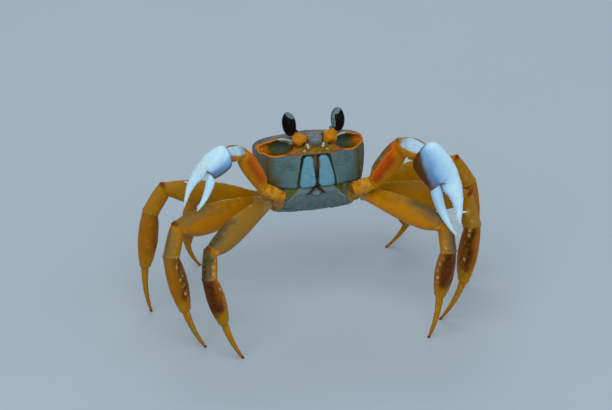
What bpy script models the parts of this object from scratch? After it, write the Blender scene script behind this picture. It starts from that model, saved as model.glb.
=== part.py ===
"""Atlantic ghost crab, Ocypode quadrata: a still adult at life size.

It stands on its eight walking legs with the front of the body raised, both
claws hanging from bent arms and the eyes up. It faces -Y, its right side is
at -X, and the floor is at z = 0. Sizes are in millimetres and become metres
as each mesh is made.

Body parts are drawn in the body's own frame: side is +X, forward is -Y and
up is +Z, before the body is pitched. Limbs are chains of joints in the
world. Neighbouring solids face each other across a narrow gap.
"""

import math

import bmesh
import bpy
from mathutils import Matrix, Vector

MM = 0.001
GAP = 0.3

# The body and its stance
CARAPACE_HALF_WIDTH = 19.8
ORBIT_CORNER_HALF_WIDTH = 19.3
CARAPACE_BACK = -19.0
CROWN_UP = 9.35
CROWN_SLOPE = 1.9
RIM_BELOW_CROWN = 0.5
CARAPACE_FLOOR_UP = -10.5
BODY_PITCH = 25.0
BODY_CENTRE = (0.0, 4.5, 57.0)

# The front of the carapace
FACE_FORWARD = 7.5
FACE_BULGE = 8.1
# The bowl of each orbit and the groove from it to the corner of the shell:
# (forward, side, up), then half sizes along the orbit, deep and high
ORBIT_CENTRE = (11.6, 12.4, 4.5)
ORBIT_HALF = (5.6, 4.4, 2.65)
ORBIT_GROOVE_CENTRE = (9.6, 16.9, 4.9)
ORBIT_GROOVE_HALF = (3.6, 2.2, 1.5)
ORBIT_TILT = 4.0
ORBIT_YAW = 20.0
MOUTH_TOP_UP = 0.9
MOUTH_DEPTH = 2.3
MOUTH_CUTTER_FORWARD = 30.0
MOUTH_HALF_WIDTHS = (7.3, 5.2)

# The back of the shell from the side: (forward, drop from the crown), then
# (forward, up) from its back edge round under its floor
SHELL_BACK_SLICE = ((-15.0, 4.0), (-18.0, 7.0))
SHELL_FLOOR_SLICE = (
    (CARAPACE_BACK, 0.5),
    (-18.4, -4.0),
    (-16.4, -8.0),
    (-13.5, CARAPACE_FLOOR_UP),
    (-4.0, CARAPACE_FLOOR_UP),
    (5.0, CARAPACE_FLOOR_UP),
)
# Where the shell is cut into slices, as shares of its half width
SHELL_SHARES = (0.12, 0.27, 0.44, 0.62, 0.78, 0.9, 0.965, 1.0)
# The rostrum's lobe: forward, up, half width and half thickness
ROSTRUM_RINGS = (
    (9.0, 7.9, 3.6, 1.5),
    (14.4, 7.8, 3.4, 1.3),
    (16.6, 7.1, 3.1, 1.2),
    (17.9, 6.0, 2.7, 0.9),
    (17.9, 4.9, 1.5, 0.6),
)
# Each mouth door: up, middle and half width
MAXILLIPED_RINGS = (
    (-10.3, 3.7, 2.2),
    (-9.6, 3.75, 2.7),
    (-6.0, 3.6, 2.5),
    (-2.6, 3.1, 2.2),
    (-0.2, 2.7, 1.7),
    (0.4, 2.6, 1.1),
)
# Each feeler: forward, side, up and radius
ANTENNA_RINGS = (
    (16.05, 4.2, 2.6, 0.75),
    (16.9, 4.1, 3.0, 0.6),
    (17.7, 3.9, 3.9, 0.4),
    (18.3, 3.9, 5.2, 0.25),
)

# The chest, seen from the side: (forward, up) round the slice
THORAX_TOP_UP = CARAPACE_FLOOR_UP - GAP
THORAX_SLICE = (
    (11.2, THORAX_TOP_UP + 0.4),
    (10.4, -13.0),
    (9.2, -16.0),
    (6.8, -18.6),
    (2.5, -19.5),
    (-3.0, -19.3),
    (-8.0, -17.8),
    (-12.0, -14.8),
    (-13.6, THORAX_TOP_UP + 0.4),
    (-4.0, THORAX_TOP_UP + 0.4),
    (4.0, THORAX_TOP_UP + 0.4),
)
THORAX_HALF_WIDTH = 15.0
ABDOMEN_HALF_THICK = 0.75
# Half widths of the tail flap, from the back of the shell forward
ABDOMEN_HALF_WIDTHS = (5.4, 5.0, 4.6, 3.6, 2.6, 1.0)

# Eyes
STALK_BASE = (15.4, 5.6, 7.0)
STALK_BASE_RADIUS = 2.7
EYE_CENTRE = (16.6, 8.9, 12.9)
EYE_HALF = (2.55, 2.7, 4.4)
EYE_LEAN = 3.0
STEM_RADIUS = 1.25
# The way the cornea looks from the stalk: side, forward and up
CORNEA_WAY = (0.75, 0.62, -0.22)
CORNEA_SET_BACK = 0.9

# Walking legs, first pair to fourth: where the hip is in the body (forward,
# side, up), and the lengths of merus, carpus, propodus and dactyl
HIPS = ((7.2, 16.9, -14.4), (1.6, 17.8, -15.0), (-4.4, 16.8, -14.1), (-10.8, 14.2, -13.0))
LEG_LENGTHS = (
    (37.0, 9.5, 18.0, 18.0),
    (39.5, 10.5, 21.5, 18.0),
    (37.5, 10.5, 22.5, 20.0),
    (29.0, 8.0, 17.0, 11.5),
)
# Deepest upper edge, lower edge and half thickness of the merus
MERUS_HALVES = ((5.0, 4.6, 2.3), (5.6, 5.2, 2.4), (5.0, 4.4, 2.4), (3.6, 3.2, 1.8))
# Half depth and half thickness of the propodus
PROPODUS_HALVES = ((3.4, 3.0), (3.5, 3.1), (3.5, 2.7), (2.3, 1.9))
DACTYL_HALF = (1.45, 1.4, 1.4, 1.15)
TOE_HALF = 0.45
DACTYL_BOW = 0.9
ROOT_LENGTH = 6.5
# Share of length, then shares of the segment's upper, lower and side halves
MERUS_STATIONS = (
    (0.0, 0.50, 0.55, 0.78),
    (0.12, 0.58, 0.62, 0.80),
    (0.30, 0.82, 0.80, 0.90),
    (0.50, 0.98, 0.97, 1.00),
    (0.68, 1.00, 1.00, 1.00),
    (0.84, 0.82, 0.90, 0.95),
    (0.95, 0.60, 0.66, 0.86),
    (1.0, 0.52, 0.55, 0.80),
)
CARPUS_STATIONS = (
    (0.0, 0.86, 0.80, 0.66),
    (0.3, 0.92, 0.78, 0.80),
    (0.7, 0.90, 0.80, 0.86),
    (1.0, 0.86, 0.82, 0.84),
)
PROPODUS_STATIONS = (
    (0.0, 0.86, 0.82, 0.84),
    (0.25, 0.98, 0.96, 0.96),
    (0.55, 1.0, 1.0, 1.0),
    (0.82, 0.78, 0.80, 0.84),
    (1.0, 0.55, 0.58, 0.62),
)
DACTYL_STATIONS = ((0.0, 1.0), (0.2, 0.8), (0.5, 0.6), (0.8, 0.42))

# How each walking leg is held, in degrees: the way it heads forward of
# straight out, how far its plane leans back, and the rise of its carpus,
# propodus and dactyl. The merus rises so far that the toe meets the floor.
LEG_POSES = {
    "right": (
        (41, 13, -70, -99, -111),
        (27, 10, -65, -99, -112),
        (1, -4, -60, -85, -97),
        (-28, -19, -67, -83, -109),
    ),
    "left": (
        (49, 6, -75, -97, -101),
        (30, 8, -73, -97, -115),
        (6, -2, -58, -86, -99),
        (-25, -17, -58, -63, -133),
    ),
}

SIDES = {"right": -1, "left": 1}

# Claw arms: where they leave the chest (forward, side, up), the way each
# segment heads forward of straight out, its rise and its length
ARM_ROOT = (13.0, 13.2, -13.1)
ARM_POSES = {
    "right": ((12, 35, 9.0), (14, 62, 18.5), (34, 18, 7.6)),
    "left": ((8, 20, 7.5), (28, 58, 19.0), (50, 4, 9.4)),
}
# Half width and half thickness of ischium, merus and carpus
ARM_HALVES = {
    "right": ((2.3, 2.2), (3.1, 2.4), (2.9, 2.8)),
    "left": ((2.7, 2.6), (4.2, 3.0), (3.8, 3.6)),
}
ARM_ISCHIUM_STATIONS = ((0.0, 0.9, 0.9, 0.9), (0.4, 1.0, 1.0, 1.0), (1.0, 0.95, 0.95, 0.95))
ARM_MERUS_STATIONS = (
    (0.0, 0.55, 0.62, 0.7),
    (0.25, 0.9, 0.85, 0.95),
    (0.55, 1.0, 1.0, 1.0),
    (0.85, 0.92, 0.95, 0.95),
    (1.0, 0.72, 0.8, 0.8),
)
ARM_CARPUS_STATIONS = (
    (0.0, 0.7, 0.75, 0.72),
    (0.3, 1.0, 0.9, 0.95),
    (0.7, 1.05, 0.95, 1.0),
    (1.0, 0.85, 0.85, 0.85),
)
ARM_ROOT_LENGTH = 5.0
# Share of the palm's length, then shares of its outer, inner and side halves
PALM_STATIONS = (
    (0.0, 0.55, 0.6, 0.66),
    (0.16, 0.84, 0.9, 0.9),
    (0.42, 1.0, 1.02, 1.0),
    (0.72, 1.0, 0.98, 0.96),
    (1.0, 0.92, 0.88, 0.8),
)
# The broad outer face of each claw looks forward and up by this much
CLAW_FACE_RISE = 28.0
# Each palm's heading and rise, the length of its inner edge, how far it
# reaches outwards and inwards of its middle, and its half thickness
PALMS = {
    "right": {"heading": 18, "rise": -28, "length": 9.2, "outer": 4.7, "inner": 4.5, "thick": 2.9},
    "left": {"heading": 47, "rise": -46, "length": 13.0, "outer": 7.4, "inner": 5.6, "thick": 4.1},
}
# Where the fixed finger grows from, as a share of the palm's length
POLLEX_START = 0.75
# Shares of the length, width and thickness of the fixed and moving fingers
POLLEX_STATIONS = (
    (0.0, 1.0, 0.72),
    (0.3, 1.0, 0.7),
    (0.5, 0.74, 0.56),
    (0.7, 0.52, 0.44),
    (0.88, 0.34, 0.3),
    (1.0, 0.12, 0.14),
)
FINGER_STATIONS = (
    (0.0, 0.36, 0.5),
    (0.12, 0.37, 0.52),
    (0.4, 0.3, 0.42),
    (0.7, 0.2, 0.28),
    (0.9, 0.12, 0.18),
    (1.0, 0.06, 0.1),
)
# Fingers: length and inward turn of the moving one, tip of the fixed one
FINGERS = {
    "right": {"dactyl": 13.0, "turn": 28, "tip": (23.6, 4.1)},
    "left": {"dactyl": 18.2, "turn": 12, "tip": (28.7, 3.3)},
}

# Spines and teeth: how deep a root is sunk, and how blunt the tip is
SPINE_SUNK = 0.5
SPINE_TIP_SHARE = 0.25
# The corner tooth of each orbit: forward, side, up, then its way and size
ORBIT_TOOTH = ((6.6, 18.7, 5.0), (0.5, 0.7, 0.1), 1.5, 1.1)
# Each claw arm's teeth: how many, length and radius
MERUS_TEETH = {"right": (7, 0.6, 0.4), "left": (9, 0.8, 0.5)}
CARPUS_SPINE = {"right": (1.7, 0.6), "left": (2.1, 0.8)}
PALM_TEETH = {"right": (7, 0.35, 0.4), "left": (10, 0.55, 0.5)}
FINGER_TEETH = {"right": (4, 0.35, 0.35), "left": (5, 0.6, 0.5)}
# Where the teeth stand, as first share and span of their segment's length
MERUS_TEETH_RUN = (0.22, 0.62)
PALM_TEETH_RUN = (0.25, 1.0)
FINGER_TEETH_RUN = (0.3, 0.5)
CARPUS_SPINE_SHARE = 0.42
# The fixed finger's root, as shares of the palm's outer and inner reach
GAPE_OUTER = 0.93
GAPE_INNER = 0.1
# The spike on the outer edge of each fixed finger: share of its length,
# length and radius
POLLEX_SPIKE = {"right": (0.62, 1.8, 0.45), "left": (0.84, 2.0, 0.6)}

# Material name, colour and roughness of each finish
FINISHES = {
    "shell": ("shell grey green", (0.30, 0.38, 0.36), 0.45),
    "chest": ("chest grey", (0.28, 0.34, 0.38), 0.45),
    "plate": ("mouthpart blue white", (0.42, 0.58, 0.66), 0.4),
    "amber": ("leg amber", (0.55, 0.26, 0.03), 0.4),
    "brown": ("leg brown", (0.38, 0.19, 0.04), 0.4),
    "orange": ("arm orange", (0.62, 0.16, 0.03), 0.4),
    "white": ("claw white", (0.62, 0.74, 0.85), 0.3),
    "stalk": ("stalk orange", (0.75, 0.35, 0.03), 0.4),
    "black": ("eye black", (0.02, 0.015, 0.015), 0.1),
}


def material(name, colour, roughness):
    """A Principled material of one colour."""
    made = bpy.data.materials.new(name)
    made.use_nodes = True
    shader = made.node_tree.nodes["Principled BSDF"]
    shader.inputs["Base Color"].default_value = (*colour, 1.0)
    shader.inputs["Roughness"].default_value = roughness
    shader.inputs["Metallic"].default_value = 0.0
    made.diffuse_color = (*colour, 1.0)
    return made


def mesh_object(name, bm, finish):
    """An object from bm, with closed outward faces and smooth round sides."""
    bmesh.ops.recalc_face_normals(bm, faces=bm.faces)
    mesh = bpy.data.meshes.new(name)
    bm.to_mesh(mesh)
    bm.free()
    mesh.materials.append(finish)
    mesh.shade_smooth()
    mesh.set_sharp_from_angle(angle=math.radians(40))
    made = bpy.data.objects.new(name, mesh)
    bpy.context.scene.collection.objects.link(made)
    return made


def ring(centre, axis_a, axis_b, half_a, half_b, count, power=2.0, half_b_low=None):
    """A closed oval of points. half_b_low is its size towards -axis_b."""
    points = []
    for step in range(count):
        angle = math.tau * (step + 0.5) / count
        a, b = math.cos(angle), math.sin(angle)
        stretch = (abs(a) ** power + abs(b) ** power) ** (-1.0 / power)
        size_b = half_b if b > 0 or half_b_low is None else half_b_low
        points.append(centre + axis_a * (half_a * a * stretch) + axis_b * (size_b * b * stretch))
    return points


def skin(name, rings, finish):
    """A closed solid through rings of equal count, capped at both ends."""
    bm = bmesh.new()
    loops = [[bm.verts.new(point * MM) for point in points] for points in rings]
    count = len(loops[0])
    for first, second in zip(loops, loops[1:]):
        for i in range(count):
            j = (i + 1) % count
            bm.faces.new((first[i], first[j], second[j], second[i]))
    bm.faces.new(loops[0][::-1])
    bm.faces.new(loops[-1])
    return mesh_object(name, bm, finish)


def ball(name, centre, halves, finish, turn=None, segments=16, rounds=10):
    """A closed ellipsoid, turned about its centre."""
    bm = bmesh.new()
    bmesh.ops.create_uvsphere(bm, u_segments=segments, v_segments=rounds, radius=1.0)
    placed = Matrix.Translation(Vector(centre) * MM) @ (turn or Matrix())
    bm.transform(placed @ Matrix.Diagonal((*(half * MM for half in halves), 1.0)))
    return mesh_object(name, bm, finish)


def spine(root, way, length, radius, finish):
    """A five-sided spine that tapers from a root sunk in its node."""
    way = way.normalized()
    across = way.orthogonal().normalized()
    aside = way.cross(across)
    tip = radius * SPINE_TIP_SHARE
    rings = [
        ring(root - way * SPINE_SUNK, across, aside, radius, radius, 5),
        ring(root + way * length, across, aside, tip, tip, 5),
    ]
    return skin("spine", rings, finish)


def boolean(base, others, operation, solver="EXACT"):
    """Joins others to base, or cuts them from it, and removes them."""
    group = bpy.data.collections.new(base.name + "_tools")
    bpy.context.scene.collection.children.link(group)
    for other in others:
        bpy.context.scene.collection.objects.unlink(other)
        group.objects.link(other)
        other.hide_render = True
        other.display_type = "WIRE"
    modifier = base.modifiers.new(operation.title(), "BOOLEAN")
    modifier.operation = operation
    modifier.operand_type = "COLLECTION"
    modifier.collection = group
    modifier.solver = solver
    bpy.context.view_layer.objects.active = base
    bpy.ops.object.modifier_apply(modifier=modifier.name)
    for other in others:
        bpy.data.objects.remove(other)
    bpy.data.collections.remove(group)
    keep_largest(base)
    return base


def keep_largest(obj):
    """Leaves only the closed surface of obj that holds most."""
    bm = bmesh.new()
    bm.from_mesh(obj.data)
    bmesh.ops.remove_doubles(bm, verts=bm.verts, dist=0.002 * MM)
    bm.verts.ensure_lookup_table()
    unseen = set(bm.verts)
    shells = []
    while unseen:
        stack = [unseen.pop()]
        shell = set(stack)
        while stack:
            for edge in stack.pop().link_edges:
                for vert in edge.verts:
                    if vert in unseen:
                        unseen.remove(vert)
                        shell.add(vert)
                        stack.append(vert)
        corners = [vert.co for vert in shell]
        spread = [max(c[i] for c in corners) - min(c[i] for c in corners) for i in range(3)]
        shells.append((spread[0] * spread[1] * spread[2], shell))
    shells.sort(key=lambda item: item[0])
    dropped = [vert for _, shell in shells[:-1] for vert in shell]
    bmesh.ops.delete(bm, geom=dropped, context="VERTS")
    bm.to_mesh(obj.data)
    bm.free()
    obj.data.shade_smooth()
    obj.data.set_sharp_from_angle(angle=math.radians(40))


def slab(name, outline, shares, half_width, finish):
    """A solid from upright slices across the body.

    outline(share) gives each slice as (forward, up) points, and
    half_width(forward, up) how far the side is there from the middle.
    """
    rings = []
    for share in shares:
        points = outline(share)
        rings.append([Vector((share * half_width(f, u), -f, u)) for f, u in points])
    return skin(name, rings, finish)


def body_vector(forward, side, up):
    """A point of the body frame."""
    return Vector((side, -forward, up))


def body_matrix():
    """Pitches the body's front up and lifts it to its place, in millimetres."""
    return Matrix.Translation(Vector(BODY_CENTRE)) @ Matrix.Rotation(math.radians(-BODY_PITCH), 4, "X")


def carapace_half_width(forward, up):
    """Nearly straight sides that draw in towards the back and the bottom."""
    widest = 4.0
    if forward > widest:
        narrowing = (CARAPACE_HALF_WIDTH - ORBIT_CORNER_HALF_WIDTH) * ((forward - widest) / 9.0) ** 2
    else:
        narrowing = 8.5 * ((widest - forward) / (widest - CARAPACE_BACK)) ** 2.4
    low = min(max((4.0 - up) / (4.0 - CARAPACE_FLOOR_UP), 0.0), 1.0)
    return CARAPACE_HALF_WIDTH - narrowing - 2.0 * low**2


def carapace_outline(share):
    """One slice of the carapace, from the foot of the face over to the back."""
    face = FACE_FORWARD + FACE_BULGE * (1.0 - abs(share) ** 2.2)
    crown = CROWN_UP - CROWN_SLOPE * (math.hypot(share, 0.1) - 0.1) - CROWN_SLOPE * abs(share) ** 12
    rim = crown - RIM_BELOW_CROWN
    points = [
        (face - 2.0, CARAPACE_FLOOR_UP),
        (face - 1.0, -7.0),
        (face - 0.2, -3.0),
        (face + 0.2, 0.8),
        (face, 3.6),
        (face - 0.4, rim - 2.2),
        (face - 1.2, rim),
        (face - 4.4, rim + 0.6 * (crown - rim)),
        (min(2.5, face - 8.0), crown),
        (-4.0, crown - 0.2),
        (-10.0, crown - 1.5),
        *((forward, crown - drop) for forward, drop in SHELL_BACK_SLICE),
        *SHELL_FLOOR_SLICE,
    ]
    if abs(share) < 1.0:
        return points
    middle = Vector((-1.0, 0.0))
    return [tuple(middle.lerp(Vector(point), 0.95)) for point in points]


def carapace(finish):
    """The shell with its face, side walls, orbits, mouth frame and rostrum."""
    shares = [-share for share in reversed(SHELL_SHARES)] + list(SHELL_SHARES)
    shell = slab("carapace", carapace_outline, shares, carapace_half_width, finish)
    lobe = []
    for forward, up, half, thick in ROSTRUM_RINGS:
        centre = body_vector(forward, 0.0, up)
        bend = Vector((0, -1, 1)).normalized() if forward > 15 else Vector((0, 0, 1))
        lobe.append(ring(centre, Vector((1, 0, 0)), bend, half, thick, 12))
    raised = [skin("rostrum", lobe, finish)]
    place, way, length, radius = ORBIT_TOOTH
    for sign in (-1, 1):
        root = body_vector(place[0], sign * place[1], place[2])
        raised.append(spine(root, body_vector(way[0], sign * way[1], way[2]), length, radius, finish))
    boolean(shell, raised, "UNION")
    cutters = [mouth_cutter(finish)]
    for sign in (-1, 1):
        turn = Matrix.Rotation(math.radians(sign * ORBIT_TILT), 4, "Y")
        turn = Matrix.Rotation(math.radians(sign * ORBIT_YAW), 4, "Z") @ turn
        for centre, halves in ((ORBIT_CENTRE, ORBIT_HALF), (ORBIT_GROOVE_CENTRE, ORBIT_GROOVE_HALF)):
            forward, side, up = centre
            cutters.append(ball("orbit", body_vector(forward, sign * side, up), halves, finish, turn, 20, 10))
        forward, side, up = STALK_BASE
        pocket = STALK_BASE_RADIUS + GAP
        cutters.append(ball("pocket", body_vector(forward, sign * side, up), (pocket,) * 3, finish))
    return boolean(shell, cutters, "DIFFERENCE")


def face_forward(up):
    """How far forward the middle of the face stands at a height."""
    low = max((0.8 - up) / (0.8 - CARAPACE_FLOOR_UP), 0.0)
    return FACE_FORWARD + FACE_BULGE + 0.2 - 2.2 * low**1.6


def mouth_cutter(finish):
    """The hollow in the face where the mouthparts lie."""
    low, high = MOUTH_HALF_WIDTHS
    rings = []
    for share in (-0.2, 0.0, 0.3, 0.6, 0.8, 1.0):
        up = CARAPACE_FLOOR_UP + share * (MOUTH_TOP_UP - CARAPACE_FLOOR_UP)
        half = low + max(share, 0.0) * (high - low)
        back = face_forward(max(up, CARAPACE_FLOOR_UP)) - MOUTH_DEPTH
        corners = ((back, -half), (back, half), (MOUTH_CUTTER_FORWARD, half), (MOUTH_CUTTER_FORWARD, -half))
        rings.append([body_vector(f, x, up) for f, x in corners])
    return skin("mouth", rings, finish)


def maxilliped(name, sign, finish):
    """One door of the mouth: a long plate, narrower at its top."""
    rings = []
    for up, middle, half in MAXILLIPED_RINGS:
        thick = 1.1 if half > 2.0 else 0.9
        centre = body_vector(face_forward(up) - MOUTH_DEPTH + GAP + thick + 0.1, sign * middle, up)
        rings.append(ring(centre, Vector((1, 0, 0)), Vector((0, 1, 0)), half, thick, 12, 2.6))
    return skin(name, rings, finish)


def bulb(name, sign, finish):
    """The whole end of an eyestalk, before the cornea is parted from it."""
    forward, side, up = EYE_CENTRE
    turn = Matrix.Rotation(math.radians(sign * EYE_LEAN), 4, "Y")
    return ball(name, body_vector(forward, sign * side, up), EYE_HALF, finish, turn, 20, 14)


def split_plane(obj, point, normal, keep_ahead):
    """Cuts obj by a plane and closes the side that is kept."""
    bm = bmesh.new()
    bm.from_mesh(obj.data)
    geometry = bm.verts[:] + bm.edges[:] + bm.faces[:]
    cut = bmesh.ops.bisect_plane(
        bm,
        geom=geometry,
        plane_co=point * MM,
        plane_no=normal,
        clear_inner=keep_ahead,
        clear_outer=not keep_ahead,
    )
    edges = [item for item in cut["geom_cut"] if isinstance(item, bmesh.types.BMEdge)]
    bmesh.ops.edgeloop_fill(bm, edges=edges)
    bmesh.ops.recalc_face_normals(bm, faces=bm.faces)
    bm.to_mesh(obj.data)
    bm.free()


def part_bulb(obj, sign, keep_front):
    """Keeps the cornea side of the bulb, or the stalk side behind it."""
    forward, side, up = EYE_CENTRE
    way_side, way_forward, way_up = CORNEA_WAY
    outward = body_vector(way_forward, sign * way_side, way_up).normalized()
    place = body_vector(forward, sign * side, up) - outward * CORNEA_SET_BACK
    place += outward * (GAP / 2 if keep_front else -GAP / 2)
    split_plane(obj, place, outward, keep_front)


def eyestalk(name, sign, finish):
    """The swollen base, the stem and the side of the bulb behind the eye."""
    forward, side, up = STALK_BASE
    base = ball(name, body_vector(forward, sign * side, up), (STALK_BASE_RADIUS,) * 3, finish)
    back = bulb("bulb", sign, finish)
    part_bulb(back, sign, False)
    root = body_vector(forward, sign * side, up)
    eye_forward, eye_side, eye_up = EYE_CENTRE
    head = body_vector(eye_forward - 1.0, sign * (eye_side - 1.7), eye_up - 2.2)
    across = Vector((1, 0, 0))
    rings = []
    for share, radius in ((0.1, STEM_RADIUS + 0.25), (0.55, STEM_RADIUS), (1.0, STEM_RADIUS)):
        rings.append(ring(root.lerp(head, share), across, Vector((0, 1, 0)), radius, radius, 10))
    stem = skin("stem", rings, finish)
    part_bulb(stem, sign, False)
    return boolean(base, [stem, back], "UNION")


def eye(name, sign, finish):
    """The dark cornea, on the outer front of the stalk."""
    made = bulb(name, sign, finish)
    part_bulb(made, sign, True)
    return made


def antenna(name, sign, finish):
    """A short feeler between the stalk's base and the rostrum."""
    rings = []
    for forward, side, up, radius in ANTENNA_RINGS:
        centre = body_vector(forward, sign * side, up)
        rings.append(ring(centre, Vector((1, 0, 0)), Vector((0, 0.6, 0.8)), radius, radius, 8))
    return skin(name, rings, finish)


def thorax_outline(share):
    """One slice of the chest, shallower towards the sides."""
    shrink = 1.0 - 0.12 * share**4
    return [((f + 1.0) * shrink - 1.0, THORAX_TOP_UP + (u - THORAX_TOP_UP) * shrink) for f, u in THORAX_SLICE]


def thorax_half_width(forward, up):
    """Narrow between the claws' roots in front, widest at the first legs."""
    front = min(max((forward - 4.0) / 8.0, 0.0), 1.0)
    back = min(max((-4.0 - forward) / 10.0, 0.0), 1.0)
    return THORAX_HALF_WIDTH - 4.5 * front**1.5 - 4.5 * back**1.5


def thorax(finish, limb_roots):
    """The chest with the root segment of each limb standing out of it."""
    shares = (-1.0, -0.85, -0.5, 0.0, 0.5, 0.85, 1.0)
    chest = slab("thorax", thorax_outline, shares, thorax_half_width, finish)
    roots = []
    for start, end, half_deep, half_thick, plane in limb_roots:
        axis = (end - start).normalized()
        deep = (Vector((0, 0, 1)) - axis * axis.z).normalized()
        thick = axis.cross(deep)
        rings = [
            ring(start, thick, deep, half_thick * 0.9, half_deep * 0.9, 10),
            ring(start.lerp(end, 0.55), thick, deep, half_thick * 1.12, half_deep * 1.12, 10),
            tilted(ring(end, thick, deep, half_thick, half_deep, 10), end, axis, plane),
        ]
        roots.append(skin("root", rings, finish))
    boolean(chest, roots, "UNION", "MANIFOLD")
    side = 2 * THORAX_HALF_WIDTH
    above = [
        [body_vector(f, x, up) for f, x in ((-side, -side), (-side, side), (side, side), (side, -side))]
        for up in (THORAX_TOP_UP, THORAX_TOP_UP + 9.0)
    ]
    return boolean(chest, [skin("above", above, finish)], "DIFFERENCE", "MANIFOLD")


def abdomen(finish):
    """The tail flap, folded forward under the chest."""
    depth = ABDOMEN_HALF_THICK + GAP + 0.1
    spine = [Vector(THORAX_SLICE[index]) for index in range(8, 2, -1)]
    runs = [(after - before).normalized() for before, after in zip(spine, spine[1:])]
    outs = [Vector((run.y, -run.x)) for run in runs]
    places = [Vector((-15.7, -10.3))]
    for point, before, after in zip(spine[1:], outs, outs[1:]):
        places.append(point + (before + after) * (depth / (1.0 + before.dot(after))))
    places.append((spine[-2] + spine[-1]) / 2 + outs[-1] * depth)
    path = [(*place, half) for place, half in zip(places, ABDOMEN_HALF_WIDTHS)]
    rings = []
    for index, (forward, up, half) in enumerate(path):
        before = path[max(index - 1, 0)]
        after = path[min(index + 1, len(path) - 1)]
        run = body_vector(after[0] - before[0], 0.0, after[1] - before[1]).normalized()
        out = run.cross(Vector((1, 0, 0)))
        centre = body_vector(forward, 0.0, up)
        rings.append(ring(centre, Vector((1, 0, 0)), out, half, ABDOMEN_HALF_THICK, 12, 2.4))
    return skin("abdomen", rings, finish)


def direction(sign, heading, rise, lean=0.0):
    """A unit vector out from the body, in degrees as the pose tables give it."""
    heading, rise, lean = (math.radians(value) for value in (heading, rise, lean))
    out = Vector((sign * math.cos(heading), -math.sin(heading), 0.0))
    back = Vector((sign * math.sin(heading), math.cos(heading), 0.0))
    up = Vector((0, 0, math.cos(lean))) + back * math.sin(lean)
    return out * math.cos(rise) + up * math.sin(rise)


def tilted(points, centre, axis, normal):
    """The points slid along axis into the plane through centre."""
    return [point - axis * ((point - centre).dot(normal) / axis.dot(normal)) for point in points]


def joint_normal(before, after):
    """The plane midway between two segments that meet."""
    return (before.normalized() + after.normalized()).normalized()


def segment(name, start, end, planes, up, stations, finish, count=10, power=2.2, bow=0.0):
    """A limb segment from start to end, cut by the planes of its joints.

    stations are (share of length, upper half, lower half, half thickness).
    The rings near an end turn into its plane, and stop half a gap from it.
    """
    axis = (end - start).normalized()
    up = (up - axis * up.dot(axis)).normalized()
    thick = axis.cross(up)
    first, last = planes
    start = start + axis * (GAP / 2 / axis.dot(first))
    if last is not None:
        end = end - axis * (GAP / 2 / axis.dot(last))
    rings = []
    for share, above, below, half_thick in stations:
        centre = start.lerp(end, share) + up * (bow * 4 * share * (1 - share))
        points = ring(centre, thick, up, half_thick, above, count, power, below)
        flat = tilted(points, centre, axis, first)
        keep = max(1.0 - share / 0.3, 0.0)
        points = [p.lerp(q, keep) for p, q in zip(points, flat)]
        if last is not None:
            flat = tilted(points, centre, axis, last)
            keep = max(1.0 - (1.0 - share) / 0.3, 0.0)
            points = [p.lerp(q, keep) for p, q in zip(points, flat)]
        rings.append(points)
    return skin(name, rings, finish)


def upper_half(stations, share):
    """How far a segment's upper edge stands off its axis at a share of it."""
    for (low, half_low, *_), (high, half_high, *_) in zip(stations, stations[1:]):
        if low <= share <= high:
            return half_low + (half_high - half_low) * (share - low) / (high - low)
    return stations[-1][1]


def scaled(stations, above, below, thick):
    """The stations at a segment's own sizes."""
    return [(share, a * above, b * below, c * thick) for share, a, b, c in stations]


def leg_joints(side, index):
    """Where a walking leg's joints are: hip, knee, wrist, ankle and toe."""
    sign = SIDES[side]
    heading, lean, *rises = LEG_POSES[side][index]
    merus_length, *lengths = LEG_LENGTHS[index]
    forward, out, up = HIPS[index]
    points = [body_matrix() @ body_vector(forward, sign * out, up)]
    drop = sum(length * math.sin(math.radians(rise)) for length, rise in zip(lengths, rises))
    height = -points[0].z / math.cos(math.radians(lean)) - drop
    merus = math.degrees(math.asin(height / merus_length))
    for rise, length in zip((merus, *rises), (merus_length, *lengths)):
        points.append(points[-1] + direction(sign, heading, rise, lean) * length)
    return points


def walking_leg(side, index, finishes):
    """The four free segments of a leg. Returns its hip plane for the chest."""
    sign = SIDES[side]
    name = f"{side}_leg_{index + 1}_"
    heading, lean = LEG_POSES[side][index][:2]
    joints = leg_joints(side, index)
    runs = [after - before for before, after in zip(joints, joints[1:])]
    outward = direction(sign, heading / 2, 0.0)
    planes = [joint_normal(outward, runs[0])]
    planes += [joint_normal(before, after) for before, after in zip(runs, runs[1:])]
    up = direction(sign, heading, 90.0, lean)
    out = direction(sign, heading, 0.0, lean)
    above, below, thick = MERUS_HALVES[index]
    deep, side_half = PROPODUS_HALVES[index]
    merus = scaled(MERUS_STATIONS, above, below, thick)
    carpus = scaled(CARPUS_STATIONS, deep, deep, side_half)
    propodus = scaled(PROPODUS_STATIONS, deep, deep, side_half)
    made = [
        segment(name + "merus", joints[0], joints[1], planes[0:2], up, merus, finishes["amber"], 12),
        segment(name + "carpus", joints[1], joints[2], planes[1:3], out, carpus, finishes["amber"]),
        segment(name + "propodus", joints[2], joints[3], planes[2:4], out, propodus, finishes["brown"]),
    ]
    half = DACTYL_HALF[index]
    stations = [(share, size * half, size * half, size * half * 0.95) for share, size in DACTYL_STATIONS]
    stations.append((1.0, TOE_HALF, TOE_HALF, TOE_HALF))
    made.append(
        segment(
            name + "dactyl",
            joints[3],
            joints[4],
            (planes[3], None),
            out,
            stations,
            finishes["amber"],
            count=8,
            power=2.0,
            bow=DACTYL_BOW,
        )
    )
    flatten_toe(made[-1], joints[4], runs[3].normalized())
    return made, planes[0], outward


def flatten_toe(obj, toe, axis):
    """Slides the last ring of a dactyl along its axis into the floor."""
    verts = obj.data.vertices
    for vert in list(verts)[-8:]:
        point = vert.co / MM
        vert.co = (point - axis * ((point.z - toe.z) / axis.z)) * MM
    obj.data.update()


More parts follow.
